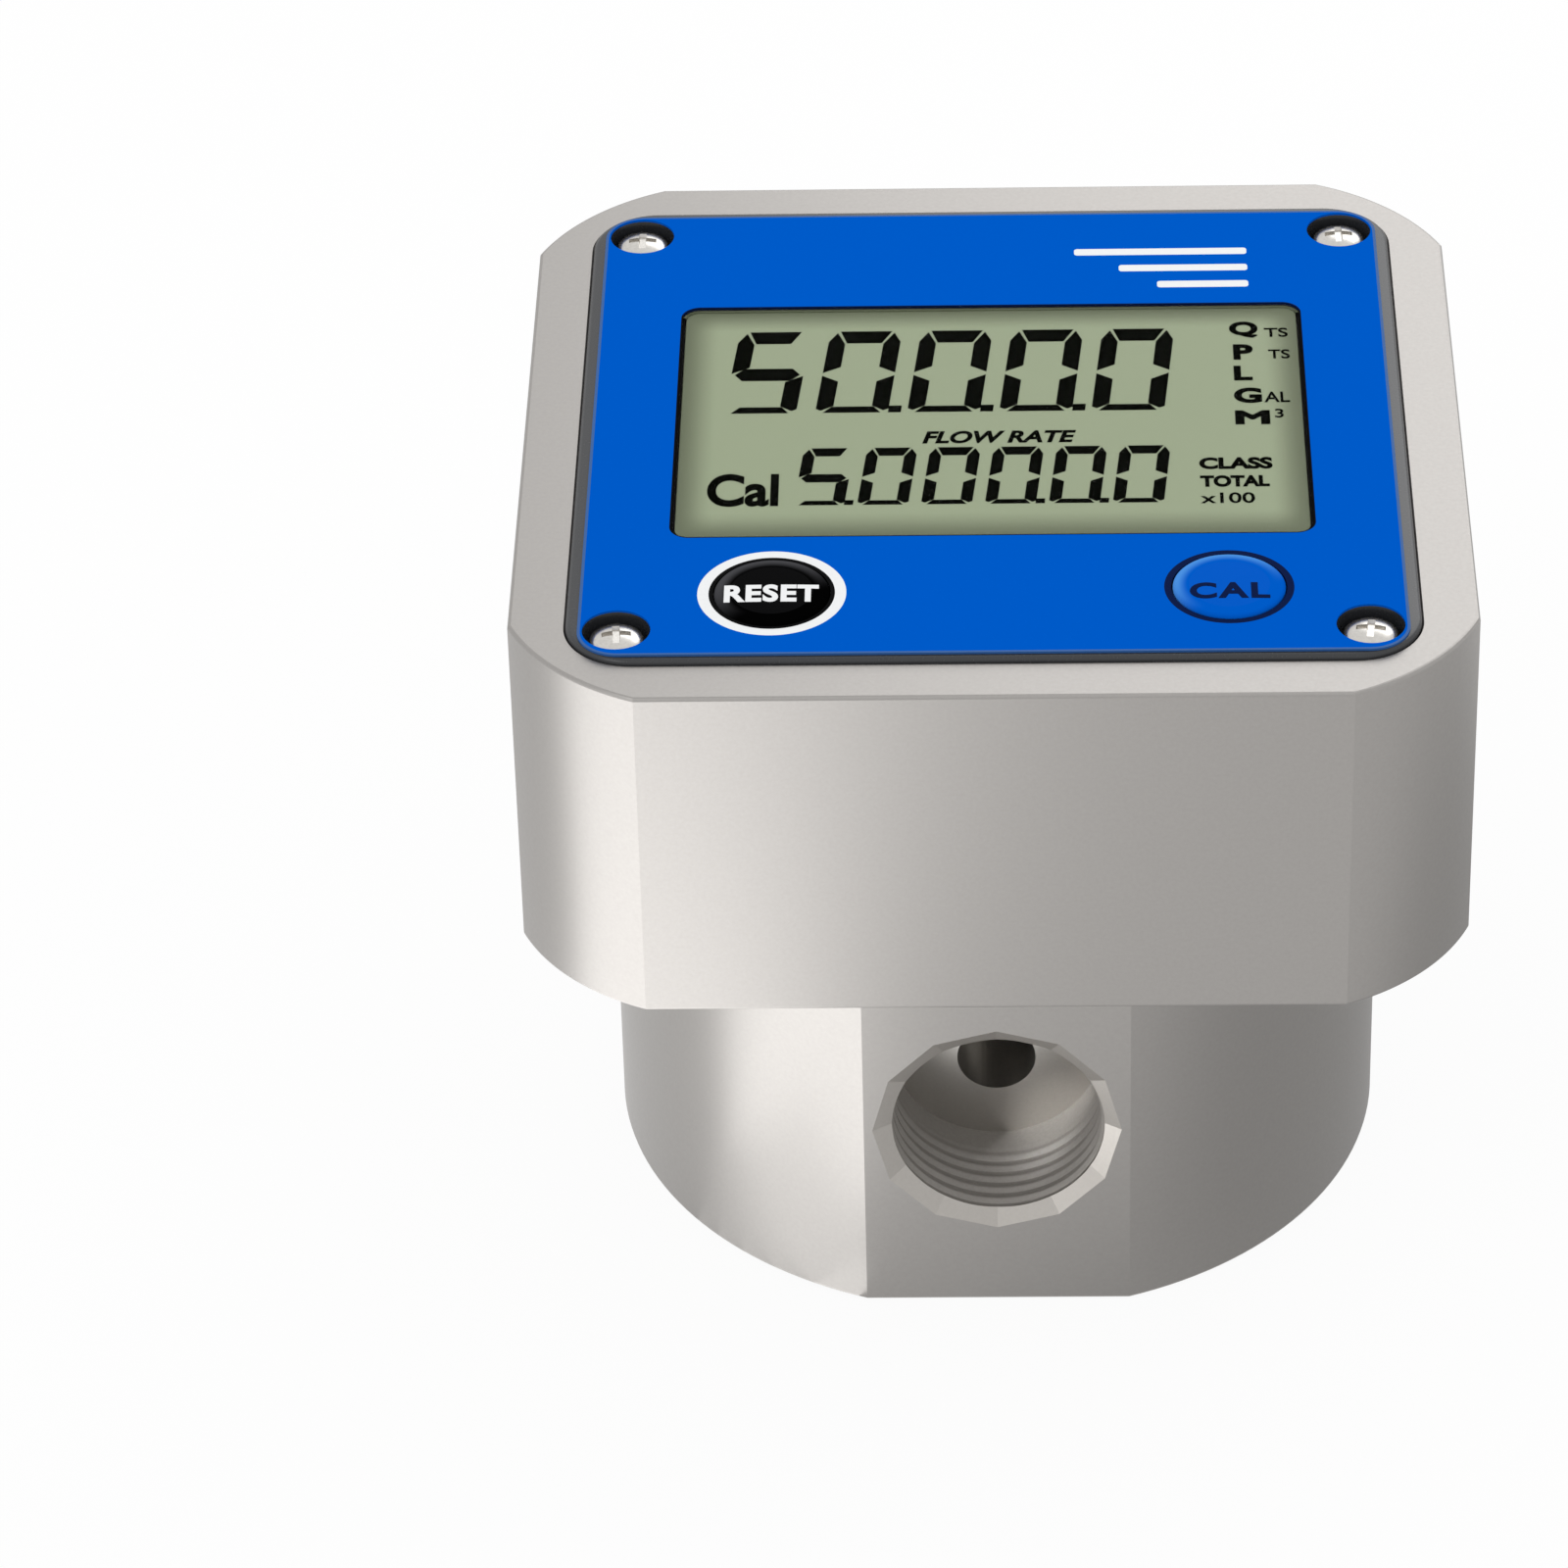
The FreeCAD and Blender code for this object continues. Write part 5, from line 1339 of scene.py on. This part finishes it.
# Each finish has its colour and shade, then its roughness, its grain and relief in millimetres and the swing
# of its roughness. Metallic, specular level and the grain's stretch follow where they aren't the usual ones.
# A finish that is worn by CAD nodes stands under the name of their slot in the record.
FINISHES: dict[str, Finish] = {
    # Stainless bar, turned or milled and then blasted: a warm grey satin with a fine tight grain.
    "stainless": Finish("blasted_stainless_steel", "#A29F9C", "#9A9794", 0.37, 0.35, 0.003, 0.03, 1.0),
    # Bores and threads as the tool left them: the same steel, duller and less even.
    "bore": Finish("machined_stainless_steel", "#A5A19C", "#95918D", 0.6, 0.3, 0.004, 0.06, 0.5),
    # Floors of the ports and the jet, reamed last: bright bare metal that throws light back out.
    "reamed": Finish("reamed_stainless_steel", "#C6C3BE", "#BBB8B3", 0.42, 0.3, 0.003, 0.05, 1.0),
    # Mouths of the ports, cut after blasting: a little lighter than the outside.
    "lip": Finish("cut_stainless_steel", "#B0ACA7", "#A7A39E", 0.42, 0.3, 0.002, 0.03, 1.0),
    # Nickel-plated steel screws: brighter and smoother than the head, with faint tool marks.
    "screw_steel": Finish("nickel_plated_steel", "#D8D5D0", "#BDBAB5", 0.24, 0.3, 0.002, 0.06, 1.0),
    # Glass-filled moulding in near black: semi-gloss, with a fine spark texture.
    "dark_plate": Finish("moulded_dark_nylon", "#2E3033", "#2B2C2F", 0.27, 0.25, 0.0002, 0.015, 0.0, 0.48),
    # Screen print behind polyester film: an even, saturated blue under a satin skin, and three plain inks.
    "label_blue": Finish("printed_polyester_blue", "#005BCA", "#0059C6", 0.5, 0.4, 0.001, 0.03, 0.0, 0.0),
    "white_ink": Finish("screen_ink_white", "#F6F7F8", "#EDEFF0", 0.5, 0.3, 0.001, 0.03, 0.0, 0.01),
    "navy_ink": Finish("screen_ink_navy", "#04163F", "#061A48", 0.5, 0.3, 0.001, 0.03, 0.0, 0.01),
    "black_ink": Finish("screen_ink_black", "#060607", "#0A0A0B", 0.5, 0.3, 0.001, 0.03, 0.0, 0.01),
    # Cut edge of the film: the blue is painted paler, a painted highlight for light running out of the clear
    # layer.
    "film": Finish("cut_polyester_edge", "#33609E", "#2E5B9A", 0.4, 0.3, 0.001, 0.03, 0.0, 0.1),
    # Liquid crystal behind a grey-green polariser: matt, with painted shade along the window's edge, and
    # black bars.
    "display_glass": DisplayFace(
        "polarised_crystal_glass", "#6E765E", "#A1AC8E", 0.5, 0.5, 0.0005, 0.03, 0.0, 0.1
    ),
    "segment": Finish("crystal_segment_black", "#040503", "#080906", 0.6, 0.3, 0.0005, 0.05, 0.0, 0.0),
    # Acrylic pane: clear, almost without tint.
    "clear_pane": ClearSheet("clear_acrylic", "#0A0B0A", "#0C0E0C", 0.05, 8.0, 0.0005, 0.01, 0.0, 0.1),
    # Moulded keys: a matt face, black or the film's blue, and an edge with a painted highlight where it
    # turns to the light.
    "key_black": Finish("moulded_matt_black", "#070708", "#0B0B0C", 0.5, 0.5, 0.001, 0.05, 0.0, 0.005),
    "edge_black_painted_highlight": Crescent(
        "black_key_edge_painted_highlight", "#030303", "#47474A", 0.45, 0.5, 0.001, 0.05, 0.0, 0.0, centre=(-18.7, -26.4)
    ),
    "key_blue": Finish("moulded_matt_blue", "#005BCA", "#0059C6", 0.5, 0.5, 0.001, 0.05, 0.0, 0.005),
    "edge_blue_painted_highlight": Crescent(
        "blue_key_edge_painted_highlight", "#005BC8", "#4D93E2", 0.45, 0.5, 0.001, 0.05, 0.0, 0.0, centre=(20.0, -26.0)
    ),
    # Silver sheet with a pearly scatter behind the glass.
    "reflector": Finish("pearl_reflector", "#C9CBC6", "#B9BBB6", 0.35, 0.2, 0.001, 0.08, 0.6),
    # Nitrile rubber: matt black with a dusty bloom.
    "seal_rubber": Finish("nitrile_rubber", "#17181A", "#202124", 0.75, 0.4, 0.01, 0.1),
    # Elastomer connector: black conducting layers between white ones.
    "strip_rubber": Banded("layered_elastomer", "#E6E2D8", "#1A1A1C", 0.6, 0.2, 0.001, 0.05, pitch=0.4),
    # Acetal: milky white and waxy.
    "acetal": Finish("machined_acetal", "#E9E7E0", "#DDDBD3", 0.4, 0.5, 0.003, 0.06),
    # Nickel-coated magnet: bright and slightly wavy.
    "magnet": Finish("nickel_magnet", "#C4C2BE", "#B2B0AC", 0.2, 0.6, 0.001, 0.05, 1.0),
    # Glass-epoxy board: green mask over copper tracks.
    "board_green": TracedBoard("masked_epoxy_board", "#0F5A32", "#2A8A50", 0.35, 0.3, 0.004, 0.06),
    # Chip package: charcoal epoxy with a fine matt skin.
    "chip_black": Finish("epoxy_package", "#1C1D1E", "#262728", 0.6, 0.15, 0.003, 0.08),
    # Tinned can: pale grey metal with soft streaks.
    "tin_can": Finish("tinned_can", "#C9CACB", "#B6B7B8", 0.3, 0.3, 0.001, 0.06, 1.0, 0.5, (0.2, 1.0, 1.0)),
    # Spring brass: yellow, rolled along its length.
    "contact_brass": Finish(
        "spring_brass", "#C8A24A", "#B48F3C", 0.3, 0.2, 0.001, 0.06, 1.0, 0.5, (0.2, 1.0, 1.0)
    ),
    # Shrink wrap on the cells: silver grey with a dark band at one end.
    "cell_wrap": Banded("shrink_wrap", "#B8BCC0", "#23262A", 0.3, 0.5, 0.002, 0.05, pitch=44.5),
    # Foam tape: soft grey with open pores.
    "adhesive": Finish("foam_tape", "#8C8E90", "#707274", 0.85, 0.3, 0.03, 0.08),
}


class Wardrobe:
    """All finishes of the meter, made as materials."""

    def __init__(self) -> None:
        """Make every finish."""
        self.made = {key: finish.make() for key, finish in FINISHES.items()}

    def pick(self, *keys: str) -> list[Material]:
        """Give the materials of some finishes, in order."""
        return [self.made[key] for key in keys]

    def wear(self, nodes: dict[str, Object]) -> None:
        """Dress every CAD node that is shown as it is.

        Args:
            nodes: CAD nodes by name, whose materials are named for the record's slots.
        """
        for name, node in nodes.items():
            for holder in node.material_slots:
                holder.material = self.made[holder.material.name]
                LOG.info("%s wears %s", name, holder.material.name)


@dataclass
class Viewpoint:
    """Camera at the photograph's angle, in degrees and millimetres."""

    azimuth: float = 2.071
    elevation: float = 35.645
    roll: float = -1.655
    target: tuple[float, float, float] = (-19.081, 0.0, 33.598)
    distance: float = 655.16
    lens: float = 165.712
    sensor: float = 36.0
    nearest: float = 10.0

    def build(self) -> None:
        """Set up the camera."""
        azimuth, elevation, roll = (math.radians(a) for a in (self.azimuth, self.elevation, self.roll))
        flat = math.cos(elevation)
        back = Vector((math.sin(azimuth) * flat, -math.cos(azimuth) * flat, math.sin(elevation)))
        level = Vector((0, 0, 1)).cross(back).normalized()
        upright = back.cross(level)
        right = math.cos(roll) * level + math.sin(roll) * upright
        up = math.cos(roll) * upright - math.sin(roll) * level
        data = bpy.data.cameras.new("camera")
        data.sensor_width = self.sensor
        data.lens = self.lens
        data.clip_start = self.nearest * MM
        camera = add_object("camera", data)
        turn = Matrix((right, up, back)).transposed().to_4x4()
        camera.matrix_world = Matrix.Translation((Vector(self.target) + back * self.distance) * MM) @ turn
        bpy.context.scene.camera = camera


@dataclass(frozen=True)
class Lamp:
    """A soft rectangular lamp in metres, given by its radiance, that the camera doesn't see."""

    name: str
    place: tuple[float, float, float]
    aim: tuple[float, float, float]
    width: float
    height: float
    radiance: float
    spread: float = FULL_TURN / 2

    def build(self) -> None:
        """Hang the lamp."""
        data = bpy.data.lights.new(self.name, "AREA")
        data.shape = "RECTANGLE"
        data.size = self.width
        data.size_y = self.height
        data.spread = self.spread
        data.energy = self.radiance * math.pi * self.width * self.height
        lamp = add_object(self.name, data)
        toward = (Vector(self.aim) - Vector(self.place)).to_track_quat("-Z", "Y")
        lamp.matrix_world = Matrix.Translation(self.place) @ toward.to_matrix().to_4x4()
        lamp.visible_camera = False


def floor_lamp(name: str, x: float, y: float, width: float, height: float, radiance: float) -> Lamp:
    """Give a lamp that lies on the floor and shines up.

    Args:
        name: Its name.
        x: Its middle along X.
        y: Its middle along Y.
        width: Its size along X.
        height: Its size along Y.
        radiance: Its radiance.

    Returns:
        The lamp.
    """
    return Lamp(name, (x, y, LAMP_LIFT), (x, y, 1.0), width, height, radiance)


def faded(lamp: Lamp, reach: float, steps: int) -> list[Lamp]:
    """Give a floor lamp with a row of ever weaker strips behind it.

    Args:
        lamp: The lamp.
        reach: Depth of the whole row in metres.
        steps: Number of strips.

    Returns:
        The lamp and its strips.
    """
    x, y, _ = lamp.place
    depth = reach / steps
    row = [lamp]
    for step in range(steps):
        back = y + lamp.height / 2 + (step + 0.5) * depth
        weaker = lamp.radiance * (1 - (step + 1) / (steps + 1))
        row.append(floor_lamp(f"{lamp.name}_{step}", x, back, lamp.width, depth, weaker))
    return row


@dataclass(frozen=True)
class Shade:
    """The meter's own shadow on the floor, in millimetres, which only the metal's reflections see."""

    name: str
    centre: Spot
    reach: Spot
    depth: float
    plateau: float = 0.4
    level: float = 0.3

    def build(self) -> None:
        """Lay the shade as a sheet that fades to nothing at its rim."""
        work = Workpiece()
        work.fill(work.outline(rounded_plan(*self.reach, min(self.reach) - 1, *self.centre), self.level))
        sheet = work.to_object(self.name)
        sheet.data.materials.append(self.finish())
        sheet.visible_camera = False
        sheet.visible_diffuse = False
        sheet.visible_shadow = False

    def finish(self) -> Material:
        """Make the soft dark finish.

        Returns:
            The sheet's material.
        """
        material = bpy.data.materials.new("soft_shade")
        tree = empty_tree(material)
        place = add_node(tree, "TexCoord", out="Object")
        scale = [1 / (reach * MM) for reach in self.reach]
        shift = [-centre / reach for centre, reach in zip(self.centre, self.reach)]
        disc = {"Scale": (*scale, 0.0), "Location": (*shift, 0.0)}
        spot = add_node(tree, "Mapping", disc, {"Vector": place})
        away = add_node(tree, "VectorMath", {"operation": "LENGTH"}, {0: spot}, "Value")
        limits = {"From Min": 1.0, "From Max": self.plateau, "To Max": self.depth}
        fade = add_node(tree, "MapRange", {"interpolation_type": "SMOOTHSTEP", **limits}, {"Value": away})
        clear = add_node(tree, "BsdfTransparent")
        dark = add_node(tree, "Emission", {"Color": linear("#202020"), "Strength": 1.0})
        mix = add_node(tree, "MixShader", None, {0: fade, 1: clear, 2: dark})
        add_node(tree, "OutputMaterial", None, {"Surface": mix})
        return material


@dataclass
class Studio:
    """White floor, pale surroundings, soft lamps and the shade beside the meter.

    The floor's half width is in metres and its level in millimetres.
    """

    floor_half: float = 3.0
    floor_level: float = -0.2
    seen_white: float = 0.93
    ambient: float = 0.85
    lamps: tuple[Lamp, ...] = (
        *faded(floor_lamp("near_softbox", -0.02825, -0.03725, 0.0235, 0.0135, 1.04), 0.009, 4),
        floor_lamp("left_softbox", -0.06, -0.126, 0.04, 0.2, 1.85),
        floor_lamp("far_softbox", -0.14825, -0.134, 0.1365, 0.184, 1.85),
        floor_lamp("front_softbox", -0.02825, -0.135, 0.0235, 0.182, 1.8),
        floor_lamp("foot_softbox", -0.0145, -0.034, 0.004, 0.008, 1.3),
        Lamp("back_softbox", (0.19, 0.55, 0.46), (0.0, 0.0, 0.07), 0.5, 0.4, 1.45),
        Lamp("key", (-0.55, -0.75, 0.95), (0.0, 0.0, 0.05), 0.5, 0.5, 2.0),
        Lamp("port_light", (-0.128, -0.155, 0.1221), (-0.006, -0.0327, 0.0224), 0.007, 0.01, 1.05, 0.03),
    )
    shade: Shade = Shade("cast_shade", (66.0, -6.0), (108.0, 80.0), 0.43)

    def build(self) -> None:
        """Lay the floor, set the surroundings and hang the lamps."""
        work = Workpiece()
        sunk = Matrix.Translation((0, 0, self.floor_level))
        bmesh.ops.create_grid(work.mesh, x_segments=8, y_segments=8, size=self.floor_half / MM, matrix=sunk)
        floor = work.to_object("floor")
        floor.data.materials.append(self.floor_finish())
        self.surround()
        for fitting in (*self.lamps, self.shade):
            fitting.build()
        bpy.context.scene.view_settings.view_transform = "Standard"

    @staticmethod
    def seen(tree: NodeTree) -> NodeSocket:
        """Add the test for rays that show the background.

        Args:
            tree: Node tree that takes the test.

        Returns:
            One for camera, glossy and transmission rays, and otherwise zero.
        """
        rays = add_node(tree, "LightPath").node.outputs
        seen = rays["Is Camera Ray"]
        for kind in ("Is Glossy Ray", "Is Transmission Ray"):
            seen = add_node(tree, "Math", {"operation": "MAXIMUM"}, {0: seen, 1: rays[kind]})
        return seen

    def floor_finish(self) -> Material:
        """Make the floor's white paint, which keeps a faint shadow.

        Returns:
            The floor's material.
        """
        material = bpy.data.materials.new("matt_white_paint")
        tree = empty_tree(material)
        paint = add_node(tree, "BsdfDiffuse", {"Color": linear("#F4F4F4")})
        glow = add_node(tree, "Emission", {"Color": linear("#FFFFFF"), "Strength": 1.0})
        share = add_node(tree, "Math", {"operation": "MULTIPLY", 1: self.seen_white}, {0: self.seen(tree)})
        mix = add_node(tree, "MixShader", None, {0: share, 1: paint, 2: glow})
        add_node(tree, "OutputMaterial", None, {"Surface": mix})
        return material

    def surround(self) -> None:
        """Make the world: white where it is seen, softer where it lights."""
        world = bpy.data.worlds.new("studio")
        tree = empty_tree(world)
        limits = {"To Min": self.ambient, "To Max": 1.0}
        level = add_node(tree, "MapRange", limits, {"Value": self.seen(tree)})
        sky = add_node(tree, "Background", {"Color": linear("#FFFFFF")}, {"Strength": level})
        add_node(tree, "OutputWorld", None, {"Surface": sky})
        bpy.context.scene.world = world


def main() -> None:
    """Build and dress the meter, then light it and set the camera."""
    logging.basicConfig(level=logging.INFO, format="%(name)s: %(message)s")
    wardrobe = Wardrobe()
    wardrobe.wear(frame["nodes"])
    pick = wardrobe.pick
    steels = pick("stainless", "bore", "lip", "reamed")
    dress(FlowBlock().build(), Body.METER, steels, ["flow_body"])
    dress(HeadShell().build(), Body.METER, pick("stainless"), ["display_housing"])
    panel = FacePanel()
    plate = pick("dark_plate", "black_ink", "display_glass")
    dress(panel.build_plate(), Body.METER, plate, ["faceplate"])
    inks = pick("label_blue", "white_ink", "navy_ink", "black_ink", "film")
    dress(panel.build_overlay(), Body.METER, inks, ["front_label"])
    dress(panel.build_screws(), Body.METER, pick("screw_steel"), ["faceplate_screws"])
    reset_word = Word("RESET", -4.03, -1.8, 4.0, 0.79, 0.042, spacing=1.1)
    reset = Button("reset_cap", *panel.reset[:2], 4.9, reset_word)
    dress(reset.build(), Body.RESET_KEY, pick("key_black", "edge_black_painted_highlight"), ["reset_button"])
    dress(reset.build_word(), Body.RESET_KEY, pick("white_ink"))
    cal_word = Word("CAL", -3.37, -2.22, 3.4, 0.16, 0.04, spacing=1.18)
    cal = Button("cal_cap", *panel.cal[:2], 4.8, cal_word)
    dress(cal.build(), Body.CAL_KEY, pick("key_blue", "edge_blue_painted_highlight"), ["cal_button"])
    dress(cal.build_word(), Body.CAL_KEY, pick("navy_ink"))
    for shown in Display().build():
        dress(shown, Body.METER, pick("segment"))
    Studio().build()
    Viewpoint().build()


if __name__ == "__main__":
    main()
